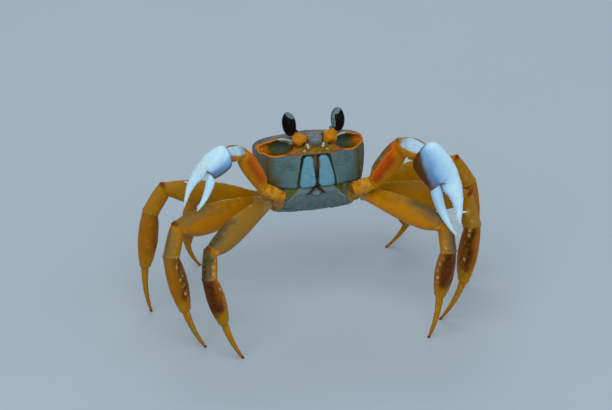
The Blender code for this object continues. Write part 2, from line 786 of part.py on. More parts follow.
def arm_joints(side):
    """Where the arm's joints are: root, elbow points and the claw's wrist."""
    forward, out, up = ARM_ROOT
    points = [body_matrix() @ body_vector(forward, SIDES[side] * out, up)]
    for heading, rise, length in ARM_POSES[side]:
        points.append(points[-1] + direction(SIDES[side], heading, rise) * length)
    return points


def claw_axes(side):
    """Along the palm, in towards the body, and out of its broad face."""
    palm = PALMS[side]
    along = direction(SIDES[side], palm["heading"], palm["rise"])
    face = direction(1, 90.0, CLAW_FACE_RISE)
    face = (face - along * face.dot(along)).normalized()
    return along, along.cross(face) * SIDES[side], face


def pollex_edge(side, at):
    """Share of the fixed finger's length at a point along the claw, and where
    the claw's outer edge is there, counted inwards from the palm's middle."""
    palm = PALMS[side]
    tip_along, tip_in = FINGERS[side]["tip"]
    start = palm["length"] * POLLEX_START
    share = max((at - start) / (tip_along - start), 0.0)
    root_out = -palm["outer"] * GAPE_OUTER
    return share, root_out + (tip_in - root_out) * share**2


def claw_teeth(side, place, finish):
    """The serration of the outer edge, the fixed finger's teeth and spike.

    place(along, inwards, outwards of the broad face) gives a point, and ways
    are in the same three numbers.
    """
    palm = PALMS[side]
    start = palm["length"] * POLLEX_START
    reach = FINGERS[side]["tip"][0] - start
    origin = place(0, 0, 0)
    raised = []
    count, tooth, radius = PALM_TEETH[side]
    for step in range(count):
        first, span = PALM_TEETH_RUN
        at = palm["length"] * (first + span * step / (count - 1))
        edge = pollex_edge(side, at)[1]
        root = place(at, edge + 0.15, 0.3 * (-1) ** step)
        raised.append(spine(root, place(0, -1, 0) - origin, tooth, radius, finish))
    share, tooth, radius = POLLEX_SPIKE[side]
    at = start + share * reach
    edge = pollex_edge(side, at)[1]
    raised.append(spine(place(at, edge + 0.35, 0), place(0.5, -1, 0) - origin, tooth, radius, finish))
    count, tooth, radius = FINGER_TEETH[side]
    gape = palm["inner"] * GAPE_INNER + palm["outer"] * GAPE_OUTER
    first, span = FINGER_TEETH_RUN
    for step in range(count):
        share = first + span * step / (count - 1)
        edge = pollex_edge(side, start + share * reach)[1]
        width = 1.0 - 1.1 * (share - first)
        inner = max(edge + gape * width - 0.2, edge + 0.4)
        root = place(start + share * reach, inner, 0)
        raised.append(spine(root, place(0, 1, 0) - origin, tooth, radius, finish))
    return raised


def claw(side, wrist, plane, finish):
    """The palm with its fixed finger, and the moving finger."""
    palm, fingers = PALMS[side], FINGERS[side]
    along, inward, face = claw_axes(side)
    length, thick = palm["length"], palm["thick"]
    rings = []
    for share, outer, inner, side_half in PALM_STATIONS:
        centre = wrist + along * (share * length)
        halves = (thick * side_half, palm["inner"] * inner)
        points = ring(centre, face, inward, *halves, 14, 2.3, palm["outer"] * outer)
        keep = max(1.0 - share / 0.4, 0.0)
        cut = wrist + plane * (GAP / 2)
        flat = [p - along * ((p - cut).dot(plane) / along.dot(plane)) for p in points]
        rings.append([p.lerp(q, keep) for p, q in zip(points, flat)])
    made = skin(f"{side}_claw_palm", rings, finish)
    gape = palm["inner"] * GAPE_INNER + palm["outer"] * GAPE_OUTER
    start = length * POLLEX_START
    finger = []
    for share, width, deep in POLLEX_STATIONS:
        at = start + share * (fingers["tip"][0] - start)
        edge = pollex_edge(side, at)[1]
        half = max(gape * width, 0.5) / 2
        centre = wrist + along * at + inward * (edge + half)
        finger.append(ring(centre, face, inward, thick * deep, half, 10, 2.2))

    def place(at, inwards, outwards):
        return wrist + along * at + inward * inwards + face * outwards

    boolean(made, [skin("finger", finger, finish)] + claw_teeth(side, place, finish), "UNION")
    hinge = wrist + along * (length + GAP) + inward * (palm["inner"] * 0.58)
    turn = math.radians(fingers["turn"])
    reach = along * math.cos(turn) + inward * math.sin(turn)
    across = inward * math.cos(turn) - along * math.sin(turn)
    rings = []
    for share, width, deep in FINGER_STATIONS:
        bow = 4 * share * (1 - share) * 0.06 * fingers["dactyl"]
        centre = hinge + reach * (share * fingers["dactyl"]) + across * bow
        points = ring(centre, face, across, thick * deep, palm["inner"] * width, 10, 2.1)
        keep = max(1.0 - share / 0.12, 0.0)
        flat = [p - reach * ((p - hinge).dot(along) / reach.dot(along)) for p in points]
        rings.append([p.lerp(q, keep) for p, q in zip(points, flat)])
    return [made, skin(f"{side}_claw_dactyl", rings, finish)]


def claw_arm(side, finishes):
    """The arm's three segments and its claw, and its plane at the chest."""
    sign = SIDES[side]
    joints = arm_joints(side)
    runs = [after - before for before, after in zip(joints, joints[1:])]
    planes = [runs[0].normalized()]
    planes += [joint_normal(before, after) for before, after in zip(runs, runs[1:])]
    planes.append(joint_normal(runs[-1], claw_axes(side)[0]))
    face = direction(1, 90.0, CLAW_FACE_RISE)
    made = []
    parts = (
        ("ischium", ARM_ISCHIUM_STATIONS, "orange"),
        ("merus", ARM_MERUS_STATIONS, "orange"),
        ("carpus", ARM_CARPUS_STATIONS, "white"),
    )
    for index, (part, stations, colour) in enumerate(parts):
        half, thick = ARM_HALVES[side][index]
        above = face.cross(runs[index]) * sign
        sizes = scaled(stations, half, half, thick)
        ends = planes[index : index + 2]
        finish = finishes[colour]
        name = f"{side}_arm_{part}"
        made.append(segment(name, joints[index], joints[index + 1], ends, above, sizes, finish, 12))
    above = face.cross(runs[1]).normalized() * sign
    thick = (face - runs[1] * (face.dot(runs[1]) / runs[1].length_squared)).normalized()
    count, length, radius = MERUS_TEETH[side]
    half, half_thick = ARM_HALVES[side][1]
    teeth = []
    first, span = MERUS_TEETH_RUN
    for step in range(count):
        share = first + span * step / (count - 1)
        reach = upper_half(scaled(ARM_MERUS_STATIONS, half, half, half_thick), share)
        root = joints[1] + runs[1] * share + above * (reach * 0.9) + thick * (half_thick * 0.4)
        size = 0.7 + 0.3 * math.sin(math.pi * (step + 1) / (count + 1))
        teeth.append(spine(root, above + thick * 0.5, length * size, radius * size, finishes["orange"]))
    boolean(made[1], teeth, "UNION", "MANIFOLD")
    length, radius = CARPUS_SPINE[side]
    half, half_thick = ARM_HALVES[side][2]
    below = -face.cross(runs[2]).normalized() * sign
    root = joints[2] + runs[2] * CARPUS_SPINE_SHARE + below * (half * 0.7) + face * (half_thick * 0.4)
    tip = spine(root, below + face * 0.4, length, radius, finishes["white"])
    boolean(made[2], [tip], "UNION", "MANIFOLD")
    return made + claw(side, joints[-1], planes[-1], finishes["white"]), planes[0]


def limb_root(hip, outward, plane, length, half_deep, half_thick):
    """The stub that joins a limb to the chest, in the body frame."""
    inverse = body_matrix().inverted()
    turn = inverse.to_3x3()
    end = inverse @ (hip - plane * (GAP / 2))
    return end - (turn @ outward) * length, end, half_deep, half_thick, turn @ plane


def side_pieces(side, finishes):
    """Everything that comes once a side: body parts, limbs and limb roots."""
    sign = SIDES[side]
    body = [
        maxilliped(f"{side}_maxilliped", sign, finishes["plate"]),
        eyestalk(f"{side}_eyestalk", sign, finishes["stalk"]),
        eye(f"{side}_eye", sign, finishes["black"]),
        antenna(f"{side}_antenna", sign, finishes["stalk"]),
    ]
    limbs = []
    roots = []
    for index in range(4):
        made, plane, outward = walking_leg(side, index, finishes)
        limbs += made
        above, _, thick = MERUS_HALVES[index]
        hip = leg_joints(side, index)[0]
        roots.append(limb_root(hip, outward, plane, ROOT_LENGTH, above * 0.5, thick * 0.78))
    made, plane = claw_arm(side, finishes)
    half, thick = ARM_HALVES[side][0]
    roots.append(limb_root(arm_joints(side)[0], plane, plane, ARM_ROOT_LENGTH, half * 0.9, thick * 0.9))
    return body, limbs + made, roots


def stand_on_floor(body, limbs):
    """Pitches and lifts the body, then centres the whole crab on the origin."""
    place = body_matrix()
    frame = bpy.data.objects.new("body_frame", None)
    stand = bpy.data.objects.new("stand_on_floor", None)
    for empty in (frame, stand):
        bpy.context.scene.collection.objects.link(empty)
    frame.matrix_world = Matrix.Translation(place.to_translation() * MM) @ place.to_3x3().to_4x4()
    for obj in body:
        obj.parent = frame
    for obj in [frame] + limbs:
        obj.parent = stand
    bpy.context.view_layer.update()
    corners = [obj.matrix_world @ vert.co for obj in body + limbs for vert in obj.data.vertices]
    for axis in (0, 1):
        values = [corner[axis] for corner in corners]
        stand.location[axis] = -(max(values) + min(values)) / 2


def main():
    for obj in list(bpy.data.objects):
        bpy.data.objects.remove(obj)
    finishes = {name: material(*FINISHES[name]) for name in FINISHES}
    body = [carapace(finishes["shell"])]
    limbs = []
    roots = []
    for side in SIDES:
        side_body, side_limbs, side_roots = side_pieces(side, finishes)
        body += side_body
        limbs += side_limbs
        roots += side_roots
    body.append(thorax(finishes["chest"], roots))
    body.append(abdomen(finishes["shell"]))
    stand_on_floor(body, limbs)


main()
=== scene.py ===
"""Looks of a life-size Atlantic ghost crab, Ocypode quadrata.

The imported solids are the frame. Each piece here takes the place of one or
more of them at the same size and place, with the forms and colours of the
living animal. Lengths are in millimetres and become metres as a mesh is set.

Body parts are worked out in the body's own frame: x is side, y is backward
and z is up, before the body is pitched.
"""

import math

import bpy
import numpy as np
from mathutils import Matrix, Vector
from mathutils.bvhtree import BVHTree


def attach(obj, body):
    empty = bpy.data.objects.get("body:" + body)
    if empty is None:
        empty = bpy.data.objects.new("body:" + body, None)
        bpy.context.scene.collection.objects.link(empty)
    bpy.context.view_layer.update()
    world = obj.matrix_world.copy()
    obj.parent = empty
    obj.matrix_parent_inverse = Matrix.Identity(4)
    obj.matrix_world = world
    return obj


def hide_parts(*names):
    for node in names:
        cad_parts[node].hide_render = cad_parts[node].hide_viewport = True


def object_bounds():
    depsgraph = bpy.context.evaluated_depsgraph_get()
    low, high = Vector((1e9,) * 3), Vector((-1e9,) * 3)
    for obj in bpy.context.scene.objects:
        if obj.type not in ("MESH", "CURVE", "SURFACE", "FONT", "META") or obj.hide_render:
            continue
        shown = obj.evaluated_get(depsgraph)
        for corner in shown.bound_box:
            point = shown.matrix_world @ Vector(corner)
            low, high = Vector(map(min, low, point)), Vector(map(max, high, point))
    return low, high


bl_info = {
    "name": "Atlantic ghost crab",
    "version": (1, 0, 0),
    "blender": (4, 5, 0),
    "location": "3D View > Sidebar > Ghost crab",
    "description": "Shell, limbs, claws, eyes and studio of a life-size ghost crab",
    "category": "Object",
}

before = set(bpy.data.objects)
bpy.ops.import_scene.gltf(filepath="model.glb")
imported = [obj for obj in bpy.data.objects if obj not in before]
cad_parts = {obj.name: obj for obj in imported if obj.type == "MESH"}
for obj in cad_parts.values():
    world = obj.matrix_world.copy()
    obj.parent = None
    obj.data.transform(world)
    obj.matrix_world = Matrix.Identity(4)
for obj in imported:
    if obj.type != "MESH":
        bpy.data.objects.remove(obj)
SOLID_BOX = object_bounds()
MM = 0.001

# The body's stance, and two faces of the shell that give its place
BODY_PITCH = 25.0
SHELL_BACK = 19.0
SHELL_FLOOR = -10.5

# The shell: widths, and heights over the body's middle
SHELL_HALF_WIDTH = 19.8
CORNER_HALF_WIDTH = 19.3
CROWN_UP = 9.35
CROWN_SLOPE = 1.9
RIM_BELOW_CROWN = 0.5
FACE_FORWARD = 7.5
FACE_BULGE = 8.1
SHELL_MIDDLE = (-1.0, 0.0)
WALL_IN = 0.05

# The bowl of each orbit and the groove out of it: forward, side and up, then
# half sizes along, deep and high
ORBIT_CENTRE = (11.6, 12.4, 4.5)
ORBIT_HALF = (5.6, 4.4, 2.65)
ORBIT_GROOVE_CENTRE = (9.6, 16.9, 4.9)
ORBIT_GROOVE_HALF = (3.6, 2.2, 1.5)
ORBIT_TILT = 4.0
ORBIT_YAW = 20.0
POCKET_RADIUS = 3.0
MOUTH_TOP_UP = 0.9
MOUTH_DEPTH = 2.3
MOUTH_HALF_WIDTHS = (7.3, 5.2)

# The rostrum's lobe: share of its length, forward, up, half width, half depth
ROSTRUM = (
    (0.0, 9.0, 7.9, 3.6, 1.5),
    (0.4, 14.4, 7.8, 3.3, 1.3),
    (0.6, 16.6, 7.1, 2.8, 1.2),
    (0.8, 17.9, 6.0, 2.3, 0.9),
    (1.0, 17.9, 4.9, 1.3, 0.6),
)
# Each mouth door: share of its length, up, middle and half width
MAXILLIPED = (
    (0.0, -10.3, 3.6, 2.5),
    (0.07, -9.6, 3.5, 3.0),
    (0.4, -6.0, 3.4, 2.75),
    (0.72, -2.6, 3.05, 2.2),
    (0.94, -0.2, 2.7, 1.7),
    (1.0, 0.4, 2.6, 1.1),
)

# The small cream antennule on each side of the rostrum: forward, side and up,
# then half sizes across, deep and high
ANTENNULE = (16.2, 2.85, 4.3)
ANTENNULE_HALF = (0.62, 0.6, 1.1)

# Eyes
STALK_BASE = (15.4, 5.6, 7.0)
EYE_CENTRE = (16.6, 8.9, 12.9)
EYE_HALF = (2.55, 2.7, 4.4)
EYE_LEAN = 3.0
STEM_RADIUS = 1.25
CORNEA_WAY = (0.75, 0.62, -0.22)
CORNEA_SET_BACK = 0.9

# Walking legs: half depth above, half depth below and half thickness of each
# merus, half depth and half thickness of each propodus, half of each dactyl
MERUS_HALVES = ((5.0, 4.6, 2.3), (5.6, 5.2, 2.4), (5.0, 4.4, 2.4), (3.6, 3.2, 1.8))
PROPODUS_HALVES = ((3.4, 3.0), (3.5, 3.1), (3.5, 2.7), (2.3, 1.9))
DACTYL_HALF = (1.45, 1.4, 1.4, 1.15)
TOE_HALF = 0.45
DACTYL_STATIONS = ((0.0, 1.0), (0.2, 0.8), (0.5, 0.6), (0.8, 0.42))
DACTYL_BOW = 0.9
MERUS_STATIONS = (
    (0.0, 0.50, 0.55, 0.78),
    (0.12, 0.58, 0.62, 0.80),
    (0.30, 0.82, 0.80, 0.90),
    (0.50, 0.98, 0.97, 1.00),
    (0.68, 1.00, 1.00, 1.00),
    (0.84, 0.82, 0.90, 0.95),
    (0.95, 0.60, 0.66, 0.86),
    (1.0, 0.52, 0.55, 0.80),
)
CARPUS_STATIONS = (
    (0.0, 0.86, 0.80, 0.66),
    (0.3, 0.92, 0.78, 0.80),
    (0.7, 0.90, 0.80, 0.86),
    (1.0, 0.86, 0.82, 0.84),
)
PROPODUS_STATIONS = (
    (0.0, 0.86, 0.82, 0.84),
    (0.25, 0.98, 0.96, 0.96),
    (0.55, 1.0, 1.0, 1.0),
    (0.82, 0.78, 0.80, 0.84),
    (1.0, 0.55, 0.58, 0.62),
)

# Claw arms: the root at the chest as forward, side and up, then half width
# and half thickness of ischium, merus and carpus
ARM_ROOT = (13.0, 13.2, -13.1)
ARM_HALVES = {
    "right": ((2.3, 2.2), (3.1, 2.4), (2.9, 2.8)),
    "left": ((2.7, 2.6), (4.2, 3.0), (3.8, 3.6)),
}
ARM_STATIONS = (
    ((0.0, 0.9, 0.9, 0.9), (0.4, 1.0, 1.0, 1.0), (1.0, 0.95, 0.95, 0.95)),
    (
        (0.0, 0.55, 0.62, 0.7),
        (0.25, 0.9, 0.85, 0.95),
        (0.55, 1.0, 1.0, 1.0),
        (0.85, 0.92, 0.95, 0.95),
        (1.0, 0.72, 0.8, 0.8),
    ),
    ((0.0, 0.7, 0.75, 0.72), (0.3, 1.0, 0.9, 0.95), (0.7, 1.05, 0.95, 1.0), (1.0, 0.85, 0.85, 0.85)),
)
# The angle from each arm's broad face up to its toothed edge
ARM_EDGE = {"right": 1.2, "left": 0.56}
PALM_STATIONS = (
    (0.0, 0.55, 0.6, 0.66),
    (0.16, 0.84, 0.9, 0.9),
    (0.42, 1.0, 1.02, 1.0),
    (0.72, 1.0, 0.98, 0.96),
    (1.0, 0.92, 0.88, 0.8),
)
CLAW_FACE_RISE = 28.0
PALMS = {
    "right": {"heading": 18, "rise": -28, "length": 9.2, "outer": 4.7, "inner": 4.5, "thick": 2.9},
    "left": {"heading": 47, "rise": -46, "length": 13.0, "outer": 7.4, "inner": 5.6, "thick": 4.1},
}
POLLEX_START = 0.75
POLLEX_STATIONS = (
    (0.0, 1.0, 0.72),
    (0.3, 1.0, 0.7),
    (0.5, 0.74, 0.56),
    (0.7, 0.52, 0.44),
    (0.88, 0.34, 0.3),
    (1.0, 0.12, 0.14),
)
FINGER_STATIONS = (
    (0.0, 0.36, 0.5),
    (0.12, 0.37, 0.52),
    (0.4, 0.3, 0.42),
    (0.7, 0.2, 0.28),
    (0.9, 0.12, 0.18),
    (1.0, 0.06, 0.1),
)
FINGERS = {
    "right": {"dactyl": 13.0, "turn": 28, "tip": (23.6, 4.1)},
    "left": {"dactyl": 18.2, "turn": 12, "tip": (28.7, 3.3)},
}
GAPE_OUTER = 0.93
GAPE_INNER = 0.1

# How wide a bristle's patch is on the unwrap it takes its colour from
HAIR_PATCH = 0.003

# Large factors that scramble a grid cell and a seed into one number
CELL_PRIMES = (73856093, 19349663, 83492791)
SEED_FACTOR = 26544357
MIX_FACTOR = 1274126177

SIDES = {"right": -1, "left": 1}
LEG_PARTS = ("merus", "carpus", "propodus", "dactyl")
ARM_PARTS = ("ischium", "merus", "carpus")

# The camera: where it looks, from the body's middle, and how wide it sees
CAMERA_AIM = (2.24, 11.68, -26.4)
CAMERA_DOWN = 28.0
CAMERA_YAW = 13.0
CAMERA_AWAY = 2000.0
VIEW_WIDTH = 223.4
SENSOR_WIDTH = 36.0


def coordinates(mesh):
    """The mesh's points in millimetres, one row each."""
    values = np.empty(len(mesh.vertices) * 3, np.float32)
    mesh.vertices.foreach_get("co", values)
    return values.reshape(-1, 3).astype(float) / MM


def normals(mesh):
    """The mesh's normals, one row a point."""
    values = np.empty(len(mesh.vertices) * 3, np.float32)
    mesh.vertex_normals.foreach_get("vector", values)
    return values.reshape(-1, 3).astype(float)


def set_points(obj, points):
    """Puts the points, in millimetres, back into the mesh."""
    obj.data.vertices.foreach_set("co", (points * MM).astype(np.float32).ravel())
    obj.data.update()


def paint(obj, **masks):
    """Stores each mask, a number from 0 to 1 a point, under its own name."""
    for name, values in masks.items():
        layer = obj.data.attributes.new(name, "FLOAT", "POINT")
        layer.data.foreach_set("value", np.clip(values, 0, 1).astype(np.float32))


def rise(values, low, high):
    """0 up to low, 1 from high on, and smooth between them."""
    share = np.clip((values - low) / (high - low), 0.0, 1.0)
    return share * share * (3.0 - 2.0 * share)


def stripe(values, middle, half):
    """1 where the values are at the middle, fading out over half a width."""
    return np.exp(-(((values - middle) / half) ** 2))


def scatter(cells, seed):
    """A repeatable number from 0 to 1 for each cell of whole numbers."""
    first, second, third = CELL_PRIMES
    mixed = cells[..., 0] * first ^ cells[..., 1] * second ^ cells[..., 2] * third ^ (seed + 1) * SEED_FACTOR
    mixed = (mixed ^ (mixed >> 13)) * MIX_FACTOR
    return ((mixed ^ (mixed >> 16)) & 0xFFFF) / 0xFFFF


def cloud(points, size, seed=0):
    """Smooth noise from -1 to 1, in lumps of about that size."""
    at = points / size
    cell = np.floor(at).astype(np.int64)
    part = at - cell
    part = part * part * (3.0 - 2.0 * part)
    total = np.zeros(len(points))
    for corner in np.ndindex(2, 2, 2):
        weight = np.prod(np.where(corner, part, 1.0 - part), axis=1)
        total += weight * scatter(cell + np.array(corner), seed)
    return 2.0 * total - 1.0


def grains(points, size, seed=0):
    """Round grains about that size apart: 1 on each, 0 between them."""
    at = points / size
    cell = np.floor(at).astype(np.int64)
    nearest = np.full(len(points), 9.0)
    for step in np.ndindex(3, 3, 3):
        near = cell + np.array(step) - 1
        middle = near + 0.15 + 0.7 * np.stack([scatter(near, seed + k) for k in (1, 2, 3)], axis=1)
        nearest = np.minimum(nearest, ((middle - at) ** 2).sum(axis=1))
    return np.clip(1.0 - np.sqrt(nearest) / 0.55, 0.0, 1.0)


def along_curve(table, share):
    """The rows of a table at each share of its first column, smoothly."""
    table = np.array(table, float)
    at, rows = table[:, 0], table[:, 1:]
    slopes = np.gradient(rows, at, axis=0)
    low = np.clip(np.searchsorted(at, share, side="right") - 1, 0, len(at) - 2)
    span = (at[low + 1] - at[low])[:, None]
    part = ((share - at[low]) / span[:, 0])[:, None]
    first = (1 + 2 * part) * (1 - part) ** 2 * rows[low] + part * (1 - part) ** 2 * span * slopes[low]
    last = part**2 * (3 - 2 * part) * rows[low + 1] - part**2 * (1 - part) * span * slopes[low + 1]
    return (first + last).T


def unit(vector):
    """The vector at length 1."""
    vector = np.asarray(vector, float)
    return vector / np.linalg.norm(vector)


def select_only(obj):
    """Makes obj the one selected and active object."""
    bpy.ops.object.select_all(action="DESELECT")
    obj.select_set(True)
    bpy.context.view_layer.objects.active = obj


def apply_modifier(obj, kind, **settings):
    """Adds a modifier with these settings and applies it."""
    modifier = obj.modifiers.new(kind.title(), kind)
    for name, value in settings.items():
        setattr(modifier, name, value)
    select_only(obj)
    bpy.ops.object.modifier_apply(modifier=modifier.name)


def remesh(obj, size):
    """Gives the closed mesh even faces of about that size."""
    apply_modifier(obj, "REMESH", mode="VOXEL", voxel_size=size * MM)


def relax(obj, rounds, strength=0.5, grow=0.0):
    """Smooths the mesh; grow gives back what the rounds shrink."""
    points = coordinates(obj.data)
    ends = np.empty(len(obj.data.edges) * 2, np.int32)
    obj.data.edges.foreach_get("vertices", ends)
    first, last = ends[::2], ends[1::2]
    count = np.bincount(ends, minlength=len(points))[:, None]
    for _ in range(rounds):
        for pull in (strength, -grow) if grow else (strength,):
            sums = [
                np.bincount(first, points[last, k], len(points))
                + np.bincount(last, points[first, k], len(points))
                for k in range(3)
            ]
            points += pull * (np.stack(sums, axis=1) / count - points)
    set_points(obj, points)


def copy_of(node, name):
    """A merged copy of a CAD node's loose triangles."""
    made = bpy.data.objects.new(name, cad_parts[node].data.copy())
    bpy.context.scene.collection.objects.link(made)
    made.data.materials.clear()
    select_only(made)
    bpy.ops.object.mode_set(mode="EDIT")
    bpy.ops.mesh.select_all(action="SELECT")
    bpy.ops.mesh.remove_doubles(threshold=0.005 * MM)
    bpy.ops.object.mode_set(mode="OBJECT")
    return made


def tube(name, segments, rings, form, cap=0.06):
    """A closed form drawn from a sphere's rings.

    form(share, angle, reach) gives the points: share runs along the form,
    angle round it, and reach from 0 in the middle of each end to 1.
    """
    bpy.ops.object.select_all(action="DESELECT")
    bpy.ops.mesh.primitive_uv_sphere_add(segments=segments, ring_count=rings, radius=1.0)
    made = bpy.context.object
    made.name = name
    values = np.empty(len(made.data.vertices) * 3, np.float32)
    made.data.vertices.foreach_get("co", values)
    ball = values.reshape(-1, 3).astype(float)
    polar = np.arccos(np.clip(-ball[:, 2], -1.0, 1.0)) / math.pi
    share = np.clip((polar - cap) / (1.0 - 2.0 * cap), 0.0, 1.0)
    reach = np.clip(np.minimum(polar, 1.0 - polar) / cap, 0.0, 1.0)
    angle = np.arctan2(ball[:, 1], ball[:, 0])
    reach = np.sin(reach * math.pi / 2)
    set_points(made, form(share, angle, reach))
    place = made.data.attributes.new("place", "FLOAT_VECTOR", "POINT")
    place.data.foreach_set("vector", np.stack([share, angle, reach], axis=1).astype(np.float32).ravel())
    if shell_volume(made) < 0:
        select_only(made)
        bpy.ops.object.mode_set(mode="EDIT")
        bpy.ops.mesh.select_all(action="SELECT")
        bpy.ops.mesh.flip_normals()
        bpy.ops.object.mode_set(mode="OBJECT")
    return made


def places(obj):
    """The share along, the angle round and the reach of a tube's points."""
    values = np.empty(len(obj.data.vertices) * 3, np.float32)
    obj.data.attributes["place"].data.foreach_get("vector", values)
    return values.reshape(-1, 3).astype(float).T


def shell_volume(obj):
    """The signed volume inside a closed mesh: negative if it is inside out."""
    obj.data.calc_loop_triangles()
    corners = np.empty(len(obj.data.loop_triangles) * 3, np.int32)
    obj.data.loop_triangles.foreach_get("vertices", corners)
    a, b, c = coordinates(obj.data)[corners.reshape(-1, 3)].transpose(1, 0, 2)
    return float((a * np.cross(b, c)).sum()) / 6.0


def oval(angle, thick, above, below, power=2.2):
    """Distances across and up for each angle round an oval section."""
    across, up = np.cos(angle), np.sin(angle)
    stretch = (np.abs(across) ** power + np.abs(up) ** power) ** (-1.0 / power)
    return thick * across * stretch, np.where(up > 0, above, below) * up * stretch


def ellipsoid(name, matrix, halves, segments=48, rings=32):
    """A closed ellipsoid with its place and turn in its mesh."""
    bpy.ops.object.select_all(action="DESELECT")
    bpy.ops.mesh.primitive_uv_sphere_add(segments=segments, ring_count=rings, radius=1.0)
    made = bpy.context.object
    made.name = name
    scale = Matrix.Diagonal((*(half * MM for half in halves), 1.0))
    made.data.transform(matrix @ scale)
    return made


def boolean(base, others, operation):
    """Joins the others to base, or cuts them from it, and removes them."""
    for other in others:
        apply_modifier(base, "BOOLEAN", operation=operation, object=other, solver="MANIFOLD")
        bpy.data.objects.remove(other)
    return base


def join(pieces, name):
    """One object of all the pieces."""
    bpy.ops.object.select_all(action="DESELECT")
    for piece in pieces:
        piece.select_set(True)
    bpy.context.view_layer.objects.active = pieces[0]
    bpy.ops.object.join()
    pieces[0].name = name
    return pieces[0]


def settle(obj, finish, slot, *nodes):
    """Gives a finished piece its finish, its body and the nodes it replaces.

    What relief or bristles add never reaches out of the solids' box.
    """
    low, high = np.array(SOLID_BOX) / MM
    set_points(obj, np.clip(coordinates(obj.data), low, high))
    obj.data.materials.clear()
    obj.data.materials.append(finish)
    obj.data.shade_smooth()
    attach(obj, "root")
    if nodes:
        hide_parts(*nodes)
    return obj


def node_points(node):
    """The points of a CAD node in millimetres."""
    return coordinates(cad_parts[node].data)


def body_turn():
    """The turn from the world to the level body, for points as rows."""
    angle = math.radians(BODY_PITCH)
    return np.array(Matrix.Rotation(angle, 3, "X"))


def body_origin():
    """The body's middle, in the turned frame, from the shell's own extent."""
    turned = node_points("carapace") @ body_turn().T
    low, high = turned.min(axis=0), turned.max(axis=0)
    return np.array([(low[0] + high[0]) / 2, high[1] - SHELL_BACK, low[2] - SHELL_FLOOR])


BODY_TURN = body_turn()
BODY_UP = np.array((0.0, 0.0, 1.0)) @ BODY_TURN
BODY_ORIGIN = body_origin()


def to_body(points):
    """World points in the body's frame."""
    return points @ BODY_TURN.T - BODY_ORIGIN


def to_world(points):
    """Points of the body's frame in the world."""
    return (points + BODY_ORIGIN) @ BODY_TURN


def body_matrix():
    """The body's place as a matrix, in metres."""
    place = Matrix(BODY_TURN.T.tolist()).to_4x4()
    place.translation = Vector(to_world(np.zeros(3)) * MM)
    return place


def in_body(forward, side, up):
    """A point of the body's frame."""
    return Vector((side, -forward, up))


def near_points(node, other, reach=0.8):
    """The middle of the points of node that face the other node."""
    points = node_points(node) * MM
    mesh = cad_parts[other].data
    tree = BVHTree.FromPolygons([v.co for v in mesh.vertices], [p.vertices for p in mesh.polygons])
    close = [p for p in points if tree.find_nearest(Vector(p), reach * MM)[0] is not None]
    return np.unique(np.round(np.array(close) / MM, 2), axis=0).mean(axis=0)


def joint_place(node, other):
    """Where two neighbouring segments meet."""
    return (near_points(node, other) + near_points(other, node)) / 2


def arm_root(side):
    """Where a claw arm leaves the chest."""
    forward, out, up = ARM_ROOT
    return to_world(np.array(in_body(forward, SIDES[side] * out, up)))


def limb_joints(first, names):
    """The joints along a chain of nodes, after its first one at the chest."""
    return [first] + [joint_place(a, b) for a, b in zip(names, names[1:])]


class Value:
    """A shader socket whose sums add Math nodes."""

    def __init__(self, finish, socket):
        self.finish = finish
        self.socket = socket

    def math(self, operation, *others, clamp=False):
        settings = {"operation": operation, "use_clamp": clamp}
        return self.finish.node("ShaderNodeMath", settings, dict(enumerate((self, *others))))

    def __add__(self, other):
        return self.math("ADD", other)

    __radd__ = __add__

    def __sub__(self, other):
        return self.math("SUBTRACT", other)

    def __rsub__(self, other):
        return self.finish.node("ShaderNodeMath", {"operation": "SUBTRACT"}, {0: other, 1: self})

    def __mul__(self, other):
        return self.math("MULTIPLY", other)

    __rmul__ = __mul__

    def __pow__(self, other):
        return self.math("POWER", other)

    def clamped(self):
        """The value kept between 0 and 1."""
        return self.math("ADD", 0.0, clamp=True)

    def step(self, low, high):
        """0 up to low, 1 from high on, and smooth between them."""
        settings = {"interpolation_type": "SMOOTHSTEP"}
        return self.finish.node("ShaderNodeMapRange", settings, {0: self, 1: low, 2: high})


